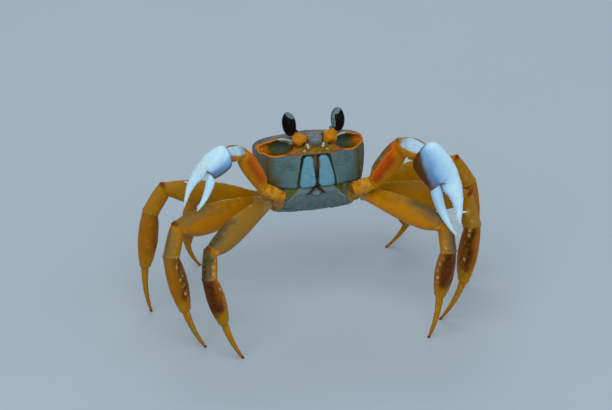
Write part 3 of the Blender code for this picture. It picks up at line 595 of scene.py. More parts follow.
class Finish:
    """A Principled material that is built up from named parts."""

    def __init__(self, name, roughness=0.4, coat=0.0, specular=0.1, subsurface=0.0):
        self.material = bpy.data.materials.new(name)
        self.material.use_nodes = True
        self.tree = self.material.node_tree
        self.shader = self.tree.nodes["Principled BSDF"]
        self.shader.inputs["Roughness"].default_value = roughness
        self.shader.inputs["Coat Weight"].default_value = coat
        self.shader.inputs["Coat Roughness"].default_value = 0.18
        self.shader.inputs["Specular IOR Level"].default_value = specular
        self.shader.inputs["Subsurface Weight"].default_value = subsurface
        self.shader.inputs["Subsurface Scale"].default_value = 0.0012
        self.places = self.node("ShaderNodeTexCoord", {}, {}, "Object")

    def node(self, kind, settings, inputs, output=0):
        """Adds a node, its settings first, then values or links."""
        made = self.tree.nodes.new(kind)
        for name, value in settings.items():
            if name == "stops":
                self.set_stops(made.color_ramp, value)
            else:
                setattr(made, name, value)
        for name, value in inputs.items():
            if isinstance(value, Value):
                self.tree.links.new(value.socket, made.inputs[name])
            else:
                made.inputs[name].default_value = value
        return Value(self, made.outputs[output])

    @staticmethod
    def set_stops(ramp, stops):
        """Gives a colour ramp its stops."""
        while len(ramp.elements) < len(stops):
            ramp.elements.new(0.5)
        for element, (place, colour) in zip(ramp.elements, stops):
            element.position = place
            element.color = (*colour, 1.0)

    def mask(self, name):
        """A mask painted on the piece."""
        return self.node("ShaderNodeAttribute", {"attribute_name": name}, {}, "Fac")

    def stretched(self, scale, turn=(0.0, 0.0, 0.0)):
        """The piece's own coordinates, scaled and turned."""
        return self.node("ShaderNodeMapping", {}, {"Vector": self.places, "Scale": scale, "Rotation": turn})

    def noise(self, size, detail=3.0, rough=0.55, vector=None, seed=0.0):
        """Noise from 0 to 1 in lumps of that size in millimetres."""
        inputs = {
            "Vector": vector or self.places,
            "W": seed,
            "Scale": 1.0 / (size * MM),
            "Detail": detail,
            "Roughness": rough,
        }
        return self.node("ShaderNodeTexNoise", {"noise_dimensions": "4D"}, inputs)

    def cells(self, size, feature="F1", spread=1.0, vector=None):
        """Distance from the middle of cells of that size in millimetres."""
        inputs = {"Vector": vector or self.places, "Scale": 1.0 / (size * MM), "Randomness": spread}
        return self.node("ShaderNodeTexVoronoi", {"feature": feature}, inputs, "Distance")

    def spots(self, size, share, soft=0.12):
        """Scattered round spots: 1 on each, 0 between them."""
        near = self.cells(size)
        return 1.0 - near.step(share, share + soft)

    def mix(self, factor, first, second):
        """The second colour over the first one."""
        settings = {"data_type": "RGBA"}
        colours = [value if isinstance(value, Value) else (*value, 1.0) for value in (first, second)]
        return self.node("ShaderNodeMix", settings, {0: factor, 6: colours[0], 7: colours[1]}, 2)

    def layer(self, colour, name, over, ragged=0.5, size=1.2, strength=1.0):
        """A painted mask in its colour, its edge broken up by noise."""
        mask = self.mask(name)
        torn = mask + (self.noise(size, 4.0, 0.6) - 0.5) * ragged
        return self.mix(torn.step(0.25, 0.75) * mask.step(0.0, 0.15) * strength, over, colour)

    def bump(self, *heights):
        """Bumps from pairs of height and distance in millimetres."""
        normal = None
        for height, distance in heights:
            inputs = {"Height": height, "Distance": distance * MM, "Strength": 1.0}
            if normal is not None:
                inputs["Normal"] = normal
            normal = self.node("ShaderNodeBump", {}, inputs)
        self.tree.links.new(normal.socket, self.shader.inputs["Normal"])

    def colour(self, colour):
        """Sends the colour to the shader."""
        self.tree.links.new(colour.socket, self.shader.inputs["Base Color"])

    def roughness(self, value):
        """Sends a varying roughness to the shader."""
        self.tree.links.new(value.socket, self.shader.inputs["Roughness"])


def smooth_loop(points, count, soft):
    """Evenly spaced points on a closed outline with rounded corners."""
    closed = np.vstack([points, points[:1]])
    steps = np.linalg.norm(np.diff(closed, axis=0), axis=1)
    at = np.concatenate([[0.0], np.cumsum(steps)])
    places = np.linspace(0.0, at[-1], count, endpoint=False)
    loop = np.stack([np.interp(places, at, closed[:, k]) for k in range(2)], axis=1)
    for _ in range(int(2 * (soft * count / at[-1]) ** 2)):
        loop = (np.roll(loop, 1, axis=0) + 2 * loop + np.roll(loop, -1, axis=0)) / 4
    return loop


def shell_half_width(forward, up):
    """Nearly straight sides that draw in towards the back and the bottom."""
    widest = 4.0
    front = (SHELL_HALF_WIDTH - CORNER_HALF_WIDTH) * ((forward - widest) / 9.0) ** 2
    back = 8.5 * (np.maximum(widest - forward, 0.0) / (widest + SHELL_BACK)) ** 2.4
    low = np.clip((4.0 - up) / (4.0 - SHELL_FLOOR), 0.0, 1.0)
    return SHELL_HALF_WIDTH - np.where(forward > widest, front, back) - 2.0 * low**2


def face_at(share):
    """How far forward the face stands at a share of the half width."""
    return FACE_FORWARD + FACE_BULGE * (1.0 - np.abs(share) ** 2.2)


def crown_at(share):
    """How high the crown stands at a share of the half width."""
    share = np.abs(share)
    return CROWN_UP - CROWN_SLOPE * (np.hypot(share, 0.1) - 0.1) - CROWN_SLOPE * share**12


def shell_outline(share):
    """One slice of the shell, from the foot of the face over to the back."""
    face, crown = face_at(share), crown_at(share)
    rim = crown - RIM_BELOW_CROWN
    points = np.array(
        [
            (face - 2.0, SHELL_FLOOR),
            (face - 1.0, -7.0),
            (face - 0.2, -3.0),
            (face + 0.2, 0.8),
            (face, 3.6),
            (face - 0.4, rim - 2.2),
            (face - 1.2, rim),
            (face - 4.4, rim + 0.6 * (crown - rim)),
            (min(2.5, face - 8.0), crown),
            (-4.0, crown - 0.2),
            (-10.0, crown - 1.5),
            (-15.0, crown - 4.0),
            (-18.0, crown - 7.0),
            (-SHELL_BACK, 0.5),
            (-18.4, -4.0),
            (-16.4, -8.0),
            (-13.5, SHELL_FLOOR),
            (-4.0, SHELL_FLOOR),
            (5.0, SHELL_FLOOR),
        ]
    )
    middle = np.array(SHELL_MIDDLE)
    return middle + (points - middle) * (1.0 - WALL_IN * abs(share) ** 24)


def shell_form(share, angle, reach):
    """The shell before its hollows, drawn as slices across the body."""
    spokes = 256
    across = np.sin((share - 0.5) * math.pi)
    places, which = np.unique(np.round(across, 5), return_inverse=True)
    loops = np.array([smooth_loop(shell_outline(place), spokes, 0.55) for place in places])
    points = loops[which, np.round(angle / math.tau * spokes).astype(int) % spokes]
    middle = np.array(SHELL_MIDDLE)
    forward, up = (middle + (points - middle) * reach[:, None]).T
    side = across * (shell_half_width(forward, up) + 0.25 * (1.0 - reach))
    return to_world(np.stack([side, -forward, up], axis=1))


def rostrum_form(share, angle, reach):
    """The blunt lobe that bends down between the eyestalks."""
    forward, up, half, thick = along_curve(ROSTRUM, share)
    lean = rise(share, 0.3, 0.6) * math.pi / 4
    across, out = oval(angle, half, thick, thick, 2.0)
    tip = 0.35 * np.sqrt(1.0 - reach**2) * np.where(share > 0.5, 1.0, -1.0)
    body = np.stack(
        [
            across * reach,
            -forward - out * reach * np.sin(lean),
            up + out * reach * np.cos(lean) - tip,
        ],
        axis=1,
    )
    return to_world(body)


def face_forward(up):
    """How far forward the middle of the face stands at a height."""
    low = np.clip((0.8 - up) / (0.8 - SHELL_FLOOR), 0.0, 1.0)
    return FACE_FORWARD + FACE_BULGE + 0.2 - 2.2 * low**1.6


def mouth_half_width(up):
    """Half the width of the mouth frame at a height."""
    share = np.clip((up - SHELL_FLOOR) / (MOUTH_TOP_UP - SHELL_FLOOR), 0.0, 1.0)
    low, high = MOUTH_HALF_WIDTHS
    return low + share * (high - low)


def mouth_hollow():
    """The block that cuts the mouth frame into the face."""
    bpy.ops.object.select_all(action="DESELECT")
    bpy.ops.mesh.primitive_cube_add(size=1.0)
    made = bpy.context.object
    bpy.ops.object.mode_set(mode="EDIT")
    bpy.ops.mesh.select_all(action="SELECT")
    bpy.ops.mesh.subdivide(number_cuts=12)
    bpy.ops.object.mode_set(mode="OBJECT")
    side, deep, high = (coordinates(made.data) * MM + 0.5).T
    up = SHELL_FLOOR - 2.0 + high * (MOUTH_TOP_UP - SHELL_FLOOR + 2.0)
    back = face_forward(np.maximum(up, SHELL_FLOOR)) - MOUTH_DEPTH
    forward = back + (30.0 - back) * (1.0 - deep)
    body = np.stack([(2 * side - 1) * mouth_half_width(up), -forward, up], axis=1)
    set_points(made, to_world(body))
    return made


def orbit_turn(sign):
    """The turn of an orbit's hollow in the body's frame."""
    tilt = Matrix.Rotation(math.radians(sign * ORBIT_TILT), 4, "Y")
    return Matrix.Rotation(math.radians(sign * ORBIT_YAW), 4, "Z") @ tilt


def orbit_hollows():
    """The blocks that cut both orbits and the pockets of the eyestalks."""
    made = []
    for sign in SIDES.values():
        for centre, halves in ((ORBIT_CENTRE, ORBIT_HALF), (ORBIT_GROOVE_CENTRE, ORBIT_GROOVE_HALF)):
            place = Matrix.Translation(in_body(centre[0], sign * centre[1], centre[2]) * MM)
            made.append(ellipsoid("hollow", body_matrix() @ place @ orbit_turn(sign), halves))
        forward, side, up = STALK_BASE
        place = Matrix.Translation(in_body(forward, sign * side, up) * MM)
        made.append(ellipsoid("pocket", body_matrix() @ place, (POCKET_RADIUS,) * 3))
    return made


def hollow_gap(points, sign, centre, halves):
    """How far body points lie outside a hollow, and where along and up it."""
    turn = np.array(orbit_turn(sign).to_3x3())
    middle = np.array(in_body(centre[0], sign * centre[1], centre[2]))
    local = (points - middle) @ turn
    scaled = local / np.array(halves)
    length = np.linalg.norm(scaled, axis=1) + 1e-6
    gap = (length - 1.0) * length / np.linalg.norm(scaled / np.array(halves), axis=1)
    return gap, sign * local[:, 0], local[:, 2]


def shell_relief(obj):
    """Works the fine forms into the shell and paints its fields."""
    points, body = coordinates(obj.data), to_body(coordinates(obj.data))
    out = normals(obj.data) @ BODY_TURN.T
    side, forward, up = np.abs(body[:, 0]), -body[:, 1], body[:, 2]
    share = np.clip(side / shell_half_width(forward, up), 0.0, 1.0)
    levels = (SHELL_FLOOR, -7.0, -3.0, 0.8, 3.6, 6.3, 8.4)
    sunk = face_at(share) + np.interp(up, levels, (-2.0, -1.0, -0.2, 0.2, 0.0, -0.4, -1.2)) - forward
    top = rise(out[:, 2], 0.35, 0.7) * rise(up, 1.0, 4.0)
    facing = rise(-out[:, 1], 0.1, 0.5)
    bowl = np.zeros(len(points))
    groove = np.zeros(len(points))
    socket = np.zeros(len(points))
    rim = np.zeros(len(points))
    pale = np.zeros(len(points))
    red = np.zeros(len(points))
    for sign in SIDES.values():
        gap, along, high = hollow_gap(body, sign, ORBIT_CENTRE, ORBIT_HALF)
        far, _, _ = hollow_gap(body, sign, ORBIT_GROOVE_CENTRE, ORBIT_GROOVE_HALF)
        here = (body[:, 0] * sign > 0) * rise(forward, 2.0, 4.0)
        deep = rise(sunk, 0.05, 0.3) * here
        edge = np.minimum(gap, far)
        inside = deep * (1 - rise(edge, 0.05, 0.4))
        middle = np.hypot((along + 0.3) / 4.3, high / 2.4) + 0.10 * cloud(points, 1.0, 15)
        socket = np.maximum(socket, inside)
        bowl = np.maximum(bowl, inside * (1 - rise(middle, 0.6, 1.1)))
        groove = np.maximum(groove, inside * rise(along + 0.6 * cloud(points, 1.2, 4), 2.6, 6.4))
        line = (1 - rise(edge, 0.45, 0.8)) * here
        rim = np.maximum(rim, line)
        upper = rise(high, 0.0, 0.8)
        pale = np.maximum(pale, line * upper * rise(along, -6.0, -4.5) * (1 - rise(along, -1.2, 0.6)))
        red = np.maximum(red, line * (1 - upper) * (1 - rise(along, -3.0, -0.5)))
    corner = rise(side, 17.3, 18.3) * rise(forward, 4.0, 6.0)
    corner = corner * rise(up, 4.2, 4.9) * (1 - rise(up, 5.9, 6.6)) * 0.8
    rim = np.maximum(rim, corner) * (1 - socket)
    lip = stripe(up, 1.5 + 0.3 * rise(side, 8.0, 11.0), 0.34)
    lip = lip * rise(side, 4.9, 5.6) * (1 - rise(side, 9.5, 11.5)) * facing
    suture = stripe(side, 17.0, 0.22) * (1 - rise(up, 1.6, 2.6)) * rise(forward, 0.0, 2.0)
    wall = rise(side, 16.9, 17.4) * rise(share, 0.8, 0.86)
    wall = wall * (1 - rise(up, 2.6, 4.4) * rise(forward, 5.0, 8.0))
    wall = np.maximum(wall, 1 - rise(forward, -3.0, 1.0))
    edge = mouth_half_width(up)
    frame_line = stripe(side + 0.25 * cloud(points, 1.6, 27), edge + 0.55, 0.4) * facing
    frame_line = frame_line * (1 - rise(up, MOUTH_TOP_UP, MOUTH_TOP_UP + 0.6))
    plate = facing * (1 - rise(up, 1.0, 2.2)) * rise(side, edge + 0.6, edge + 1.4) * (1 - rim)
    crease = np.hypot(side - 9.0, (up + 0.5) * 1.3)
    creases = (stripe(crease, 3.0, 0.25) + stripe(crease, 4.3, 0.25)) * (1 - rise(up, -3.0, -0.5)) * plate
    foot = 1 - rise(up, SHELL_FLOOR + 0.35, SHELL_FLOOR + 0.9)
    lengthwise = stripe(side, 4.6 + 0.02 * (forward + 4) ** 2, 0.5) * rise(forward, -12, -9)
    lengthwise = lengthwise * (1 - rise(forward, 3.0, 6.0))
    cross = stripe(forward, -2.0 + 0.25 * (side - 4.6), 0.55)
    cross = cross * rise(side, 4.0, 5.0) * (1 - rise(side, 11.5, 14.0))
    rear = stripe(forward, -9.5, 0.6) * (1 - rise(side, 4.0, 5.2))
    grooves = np.clip(lengthwise + cross + rear, 0, 1) * top
    beads = grains(points, 0.75, 3)
    fine = grains(points, 0.55, 9)
    height = 0.22 * rim * (0.6 + 0.6 * beads)
    height += -0.28 * suture - 0.14 * creases + 0.22 * frame_line - 0.35 * grooves
    height += 0.10 * beads * top * (1 - grooves) + 0.05 * fine * plate * (0.4 + 0.6 * rise(share, 0.5, 0.9))
    height += 0.05 * cloud(points, 2.6, 5) * (top + plate) + 0.07 * fine * wall
    height += 0.05 * cloud(body * np.array((1.0, 1.0, 3.0)), 1.6, 8) * plate
    set_points(obj, points + normals(obj.data) * height[:, None])
    low = 1 - rise(up, -9.0, 0.5)
    wild = cloud(points, 3.0, 12)
    cheek = np.hypot((side - 17.5) / 7.0, (up + 11.5) / 9.5) + 0.08 * wild
    olive = (1 - rise(cheek, 0.25, 1.05)) * np.where(body[:, 0] < 0, 1.0, 0.35)
    olive = np.maximum(olive, 0.8 * stripe(side, 16.6, 1.5) * (1 - rise(up, 1.0, 3.0)))
    olive = olive * facing * rise(side, 8.0, 11.0)
    loose = 0.6 * cloud(points, 1.3, 33)
    epistome = (1 - rise(side + loose, 7.6, 9.8)) * rise(up, 1.0, 1.5) * (1 - rise(up + loose, 5.2, 6.4))
    ahead = rise(forward, 4.0, 6.0)
    epistome = epistome * rise(sunk + 0.3 * loose, -0.7, 0.1) * ahead
    gullet = (1 - rise(side, edge - 0.5, edge + 0.1)) * rise(sunk, 1.2, 1.8)
    gullet = gullet * (1 - rise(up, 0.6, 1.2)) * ahead
    tongue = gullet * rise(up, -6.0, -1.5) * stripe(side, 0.0, 0.45)
    lobe = rise(forward, 13.0, 15.0) * (1 - rise(side, 3.0, 3.8)) * rise(up, 4.0, 4.3)
    lobe_edge = lobe * (1 - rise(up + 0.25 * side, 5.2, 5.6))
    lobe_corner = lobe_edge * rise(side, 1.0, 1.8)
    fold = stripe(up + 0.1 * side, 3.9, 0.2) * (1 - rise(side, 2.0, 3.0))
    fold = fold + 0.7 * stripe(side - 0.8 * (up - 1.5), 2.2, 0.2)
    fold = np.clip(fold, 0, 1) * epistome * rise(forward, 10.0, 12.0)
    stain = stripe(side, 9.5, 3.0) * stripe(up, 0.8, 1.2) * rise(cloud(points, 1.5, 31), 0.0, 0.8) * plate
    front_crown = top * rise(forward, 7.0, 10.0)
    paint(
        obj,
        bowl=bowl,
        groove=groove,
        rim=rim,
        rim_pale=pale * (1 - bowl),
        rim_red=np.maximum(red * (1 - bowl), lip),
        wall=wall,
        socket=socket,
        crown=top,
        front_crown=front_crown,
        low=low * plate,
        olive=olive * (1 - rim),
        epistome=epistome * (1 - rim) * (1 - socket),
        gullet=gullet,
        stain=stain,
        tongue=tongue,
        lobe=lobe,
        lobe_edge=lobe_edge * (1 - epistome),
        lobe_corner=lobe_corner * (1 - epistome),
        dark_line=np.clip(
            0.55 * suture
            + foot * facing * rise(side, 9.0, 13.0)
            + 0.45 * creases
            + 0.8 * stripe(side, edge, 0.3) * facing * (1 - rise(up, 0.2, 0.8))
            + 0.8 * stripe(up, 1.05, 0.22) * facing * (1 - rise(side, 4.6, 5.4))
            + 0.8 * fold,
            0,
            1,
        ),
        frame_line=frame_line,
        mottle=top * (0.5 + 0.3 * wild + 0.25 * cloud(points, 1.3, 35)),
    )


def build_shell():
    """The shell with its rostrum, orbits and mouth frame."""
    shell = tube("shell", 256, 170, shell_form, 0.04)
    lobe = tube("lobe", 48, 48, rostrum_form, 0.08)
    boolean(shell, [lobe], "UNION")
    boolean(shell, orbit_hollows() + [mouth_hollow()], "DIFFERENCE")
    remesh(shell, 0.27)
    relax(shell, 3)
    shell_relief(shell)
    return shell


def build_chest():
    """The chest plates with the root segments of all the limbs."""
    chest = copy_of("thorax", "chest")
    remesh(chest, 0.28)
    relax(chest, 30)
    points, body = coordinates(chest.data), to_body(coordinates(chest.data))
    out = normals(chest.data) @ BODY_TURN.T
    side, forward, up = np.abs(body[:, 0]), -body[:, 1], body[:, 2]
    legs = np.full(len(points), 99.0)
    arms = np.full(len(points), 99.0)
    for name in SIDES:
        for number in range(1, 5):
            hip = near_points(f"{name}_leg_{number}_merus", "thorax")
            legs = np.minimum(legs, np.linalg.norm(points - hip, axis=1))
        arms = np.minimum(arms, np.linalg.norm(points - arm_root(name), axis=1))
    leg_base = 1 - rise(legs, 4.5, 6.5)
    arm_base = (1 - rise(arms, 3.6, 5.2)) * (1 - leg_base)
    plate = (1 - leg_base) * (1 - arm_base)
    sutures = np.zeros(len(points))
    for place in (4.4, -1.4, -7.6):
        curve = place + 0.05 * side + 0.012 * side**2
        sutures = np.maximum(sutures, stripe(forward, curve, 0.3) * rise(side, 2.0, 3.5))
    sutures = sutures * rise(-out[:, 2], -0.2, 0.3) * plate
    fork = stripe(side, -0.95 * (up + 10.4), 0.85) * rise(up, -14.0, -13.0) * rise(forward, 6.0, 8.0)
    tip = stripe(np.hypot(side / 1.7, up + 13.0), 1.1, 0.2) * rise(-up, 13.0, 13.6) * rise(forward, 6.0, 8.0)
    tab = (1 - rise(np.hypot(side / 1.8, up + 13.0), 0.7, 1.1)) * rise(forward, 6.0, 8.0)
    flank = 5.9 - 0.60 * (up + 11.0) + 0.12 * (up + 11.0) ** 2 + 0.3 * cloud(points, 1.6, 19)
    rims = stripe(side + 0.2 * cloud(points, 1.4, 17), flank, 0.45) * rise(forward, 5.0, 7.0) * plate
    hips = 0.5 * stripe(legs + 0.3 * cloud(points, 1.4, 18), 6.6, 0.5)
    rims = np.maximum(rims, hips * rise(-up, 11.2, 12.0))
    small = rise(side, 1.2, 2.2) * (1 - rise(side, flank - 0.6, flank))
    small = small * rise(up, -13.2, -12.4) * rise(forward, 6.0, 8.0)
    outer = rise(side, flank + 0.2, flank + 1.2) * rise(forward, 3.0, 6.0) * plate
    channel = stripe(side, 5.6, 0.35) * rise(-out[:, 2], 0.2, 0.6) * (1 - rise(forward, 4.5, 6.0))
    ridge = stripe(arms, 2.2, 0.35)
    beads = grains(points, 0.7, 5)
    height = -0.30 * sutures + 0.20 * rims - 0.3 * channel + 0.2 * ridge
    height = height - 0.35 * fork - 0.15 * tip + 0.1 * small
    height += 0.06 * beads * plate + 0.10 * beads * leg_base + 0.08 * cloud(points, 1.8, 4)
    top = 1 - rise(-up, 10.9, 12.0)
    lifted = points + normals(chest.data) * height[:, None]
    lifted = lifted + BODY_UP * top[:, None] * 0.45
    set_points(chest, lifted)
    paint(
        chest,
        leg_base=leg_base,
        arm_base=np.maximum(arm_base, 0.8 * outer * (1 - rise(-up, 14.5, 16.5))),
        rims=rims + 0.35 * ridge,
        small=np.maximum(small, tab) * (1 - fork),
        fork=fork + 0.6 * tip,
        dark_line=np.clip(sutures + channel, 0, 1),
    )
    return chest


def build_tail():
    """The folded tail flap with its segments."""
    tail = copy_of("abdomen", "tail")
    remesh(tail, 0.2)
    relax(tail, 14)
    points, body = coordinates(tail.data), to_body(coordinates(tail.data))
    forward, up = -body[:, 1], body[:, 2]
    turn = np.arctan2(forward + 4.0, -up - 6.0)
    joints = np.zeros(len(points))
    for step in range(6):
        joints = np.maximum(joints, stripe(turn, -1.15 + 0.32 * step, 0.025))
    height = -0.22 * joints + 0.04 * grains(points, 0.7, 2)
    sunk = 1.6 * rise(-up, 14.0, 16.5) + 1.4 * rise(forward, 0.0, 7.0)
    tuck = sunk[:, None] * np.array((0.0, 0.0, 1.0)) @ BODY_TURN
    set_points(tail, points + normals(tail.data) * height[:, None] + tuck)
    paint(tail, dark_line=joints)
    return tail


def maxilliped_form(sign):
    """One door of the mouth: long ischium, short merus and a groove."""

    def form(share, angle, reach):
        up, middle, half = along_curve(MAXILLIPED, share)
        thick = np.where(half > 2.0, 1.1, 0.9)
        across, out = oval(angle, half, thick, thick, 2.6)
        depth = face_forward(up) - MOUTH_DEPTH + 0.4 + thick
        end = 0.25 * np.sqrt(1 - reach**2) * np.where(share > 0.5, 1.0, -1.0)
        front = rise(out, 0.0, 0.6)
        inner = -sign * across / half
        joint = stripe(share, 0.60 + 0.02 * inner, 0.016)
        groove = stripe(inner, 0.45, 0.12) * rise(share, 0.06, 0.2) * (1 - rise(share, 0.5, 0.58))
        border = rise(np.abs(across) / half, 0.82, 0.95)
        out = out - front * (0.12 * joint + 0.16 * groove) + 0.08 * border * front
        side = sign * middle + across * reach
        return to_world(np.stack([side, -(depth + out * reach), up + end], axis=1))

    return form


def build_mouth():
    """Both mouth doors."""
    doors = []
    for name, sign in SIDES.items():
        door = tube(f"{name}_mouth_door", 96, 110, maxilliped_form(sign), 0.05)
        body = to_body(coordinates(door.data))
        share, _, _ = places(door)
        middle = np.interp(share, [row[0] for row in MAXILLIPED], [row[2] for row in MAXILLIPED])
        half = np.interp(share, [row[0] for row in MAXILLIPED], [row[3] for row in MAXILLIPED])
        across = (body[:, 0] * sign - middle) / half
        joint = 0.35 * stripe(share, 0.60, 0.015)
        height = 0.05 * grains(coordinates(door.data), 0.5, 7) + 0.04 * cloud(coordinates(door.data), 1.1, 3)
        set_points(door, coordinates(door.data) + normals(door.data) * height[:, None])
        paint(
            door,
            border=np.clip(rise(np.abs(across), 0.86, 1.0) + joint, 0, 1),
            # inner is painted shade: darker along each door's inner edge, by the gap between the doors
            inner=rise(-across, 0.6, 1.0) * rise(share, 0.3, 0.7),
        )
        doors.append(door)
    return doors


def hair(name, roots, ways, patches, length, radius, seed):
    """Stiff bristles, each a thin three-sided spike from its root.

    patches are the roots' places on an unwrap of what the bristles grow on.
    """
    draw = np.random.default_rng(seed)
    bpy.ops.object.select_all(action="DESELECT")
    bpy.ops.mesh.primitive_cone_add(vertices=3, radius1=1.0, radius2=0.12, depth=1.0, end_fill_type="NGON")
    bristle = bpy.context.object
    shape = coordinates(bristle.data) * MM
    faces = [list(face.vertices) for face in bristle.data.polygons]
    bpy.data.objects.remove(bristle)
    points, corners = [], []
    for root, way in zip(roots, ways):
        way = unit(way + draw.normal(0.0, 0.16, 3))
        aside = unit(np.cross(way, (0.31, 0.52, 0.79)))
        third = np.cross(way, aside)
        size = length * draw.uniform(0.6, 1.1)
        start = len(points)
        for x, y, z in shape:
            bend = 0.12 * size * (z + 0.5) ** 2
            points.append(root + (aside * x + third * y) * radius + way * (z + 0.4) * size + third * bend)
        corners += [[start + corner for corner in face] for face in faces]
    mesh = bpy.data.meshes.new(name)
    mesh.from_pydata((np.array(points) * MM).tolist(), [], corners)
    made = bpy.data.objects.new(name, mesh)
    bpy.context.scene.collection.objects.link(made)
    across = np.array([(x, z) for x, _, z in shape]) * HAIR_PATCH / 2
    spread = (np.array(patches)[:, None, :] + across[None, :, :]).reshape(-1, 2)
    which = np.empty(len(mesh.loops), np.int32)
    mesh.loops.foreach_get("vertex_index", which)
    mesh.uv_layers.new(name="OFBake").uv.foreach_set("vector", spread[which].astype(np.float32).ravel())
    return made


def build_mouth_hair():
    """The brown fringe between the two mouth doors."""
    draw = np.random.default_rng(11)
    roots, ways, patches = [], [], []
    for up in np.linspace(SHELL_FLOOR + 0.4, -0.6, 60):
        for sign in SIDES.values():
            for step in range(3):
                side = sign * (0.65 + 0.04 * (up - SHELL_FLOOR) + draw.uniform(-0.1, 0.25))
                root = np.array([side, -(face_forward(up) - MOUTH_DEPTH + draw.uniform(0.5, 1.5)), up])
                roots.append(to_world(root))
                ways.append(np.array([-sign * 0.9, -0.5, -0.35]) @ BODY_TURN)
                patches.append((0.5 + sign * (0.1 + 0.1 * step), (up - SHELL_FLOOR) / 11.0))
    return hair("mouth_fringe", roots, ways, patches, 0.7, 0.04, 3)


def eye_matrix(sign):
    """The place and lean of one eye's bulb."""
    forward, side, up = EYE_CENTRE
    lean = Matrix.Rotation(math.radians(sign * EYE_LEAN), 4, "Y")
    return body_matrix() @ Matrix.Translation(in_body(forward, sign * side, up) * MM) @ lean


def cornea_plane(sign):
    """A point of the plane between cornea and stalk, and the way it faces."""
    side, forward, up = CORNEA_WAY
    way = unit(np.array([sign * side, -forward, up]))
    forward, side, up = EYE_CENTRE
    point = np.array([sign * side, -forward, up]) - way * CORNEA_SET_BACK
    return to_world(point), way @ BODY_TURN


def build_eye(name, sign):
    """The glossy cornea on the outer front of the stalk."""
    eye = ellipsoid(f"{name}_cornea", eye_matrix(sign), EYE_HALF, 96, 72)
    point, way = cornea_plane(sign)
    points = coordinates(eye.data)
    behind = (points - point) @ way
    inset = np.clip(-behind, 0.0, None)
    points = points + way * inset[:, None]
    middle = points[behind < 0].mean(axis=0)
    tuck = rise(-behind, 0.0, 1.6)[:, None] * 0.12
    points = points + (middle - points) * tuck
    set_points(eye, points)
    apply_modifier(eye, "SUBSURF", levels=1, render_levels=1)
    body = to_body(coordinates(eye.data))
    _, side, up = EYE_CENTRE
    inward = (side - sign * body[:, 0]) / EYE_HALF[0]
    high = (body[:, 2] - up) / EYE_HALF[2]
    cap = 1 - rise(np.hypot(inward - 0.5, (high - 0.95) / 0.55), 0.85, 1.1)
    strip = rise(inward, 0.42, 0.62) * rise(high, -0.9, -0.3) * (sign > 0)
    paint(eye, cap=np.maximum(cap, strip), low=1 - rise(high, -0.95, -0.4))
    return eye


def build_stalk(name, sign):
    """The swollen stalk base, its stem, and the pale bulb behind the eye."""
    forward, side, up = STALK_BASE
    root = np.array([sign * side, -forward, up])
    far = np.array([sign * (EYE_CENTRE[1] - 1.7), -(EYE_CENTRE[0] - 1.0), EYE_CENTRE[2] - 2.2])
    place = Matrix.Translation(in_body(forward, sign * side, up) * MM)
    lump = ellipsoid(f"{name}_stalk", body_matrix() @ place, (2.75, 2.6, 2.45))
    shoulder_at = in_body(forward + 0.5, sign * (side + 1.1), up + 1.6) * MM
    shoulder = ellipsoid("shoulder", body_matrix() @ Matrix.Translation(shoulder_at), (1.9, 1.7, 1.5))

    def stem_form(share, angle, reach):
        centre = root + (far - root) * share[:, None]
        radius = STEM_RADIUS * (1.15 - 0.15 * rise(share, 0.1, 0.6)) * reach
        offset = np.stack([np.cos(angle) * radius, np.sin(angle) * radius, 0 * radius], axis=1)
        return to_world(centre + offset)

    stem = tube("stem", 32, 24, stem_form)
    bulb = ellipsoid("bulb", eye_matrix(sign), tuple(half - 0.06 for half in EYE_HALF))
    boolean(lump, [shoulder, stem, bulb], "UNION")
    remesh(lump, 0.14)
    relax(lump, 8)
    points = coordinates(lump.data)
    body = to_body(points)
    point, way = cornea_plane(sign)
    ahead = (points - point) @ way
    up = body[:, 2]
    bulb_part = rise(up, 9.3, 10.4)
    inset = rise(ahead, -0.1, 0.3) * bulb_part
    knobs = 0.60 * cloud(points, 1.9, 2) + 0.22 * cloud(points, 0.9, 5) + 0.12 * grains(points, 0.7, 6)
    height = -0.22 * inset + knobs * (1 - bulb_part) + 0.03 * cloud(points, 0.9, 3) * bulb_part
    seam = 0.4 * stripe(up, 9.6, 0.3) + stripe(ahead, -0.35, 0.12) * bulb_part * 0.6
    height -= 0.14 * seam
    set_points(lump, points + normals(lump.data) * height[:, None])
    facing = -(normals(lump.data) @ BODY_TURN.T)[:, 1]
    dusk = (1 - rise(up, EYE_CENTRE[2] + 0.6, EYE_CENTRE[2] + 2.2)) * rise(facing, -0.1, 0.4) * (sign < 0)
    paint(lump, bulb=bulb_part, seam=seam, low=1 - rise(up, 4.6, 6.8), dusk=dusk * bulb_part)
    return lump


def build_antenna(name, sign):
    """A feeler, smoothed from its solid, with the cream antennule beside it."""
    antenna = copy_of(f"{name}_antenna", f"{name}_feeler")
    forward, side, up = ANTENNULE
    place = body_matrix() @ Matrix.Translation(in_body(forward, sign * side, up) * MM)
    small = ellipsoid("antennule", place @ Matrix.Rotation(sign * 0.25, 4, "Y"), ANTENNULE_HALF, 32, 24)
    antenna = join([antenna, small], f"{name}_feeler")
    remesh(antenna, 0.12)
    relax(antenna, 6)
    points = coordinates(antenna.data)
    up = to_body(points)[:, 2]
    near = np.linalg.norm(points - np.array(place.translation) / MM, axis=1)
    lobe = 1 - rise(near, 1.5, 1.9)
    rings = 0.5 + 0.5 * np.cos(up * 9.0)
    height = 0.06 * rings * rise(up, 3.4, 4.0) * (1 - lobe) + 0.05 * grains(points, 0.4, 3)
    set_points(antenna, points + normals(antenna.data) * height[:, None])
    paint(antenna, pale=np.maximum(1 - rise(up, 2.6, 3.6), lobe), ring=(1 - rings) * (1 - lobe))
    return antenna


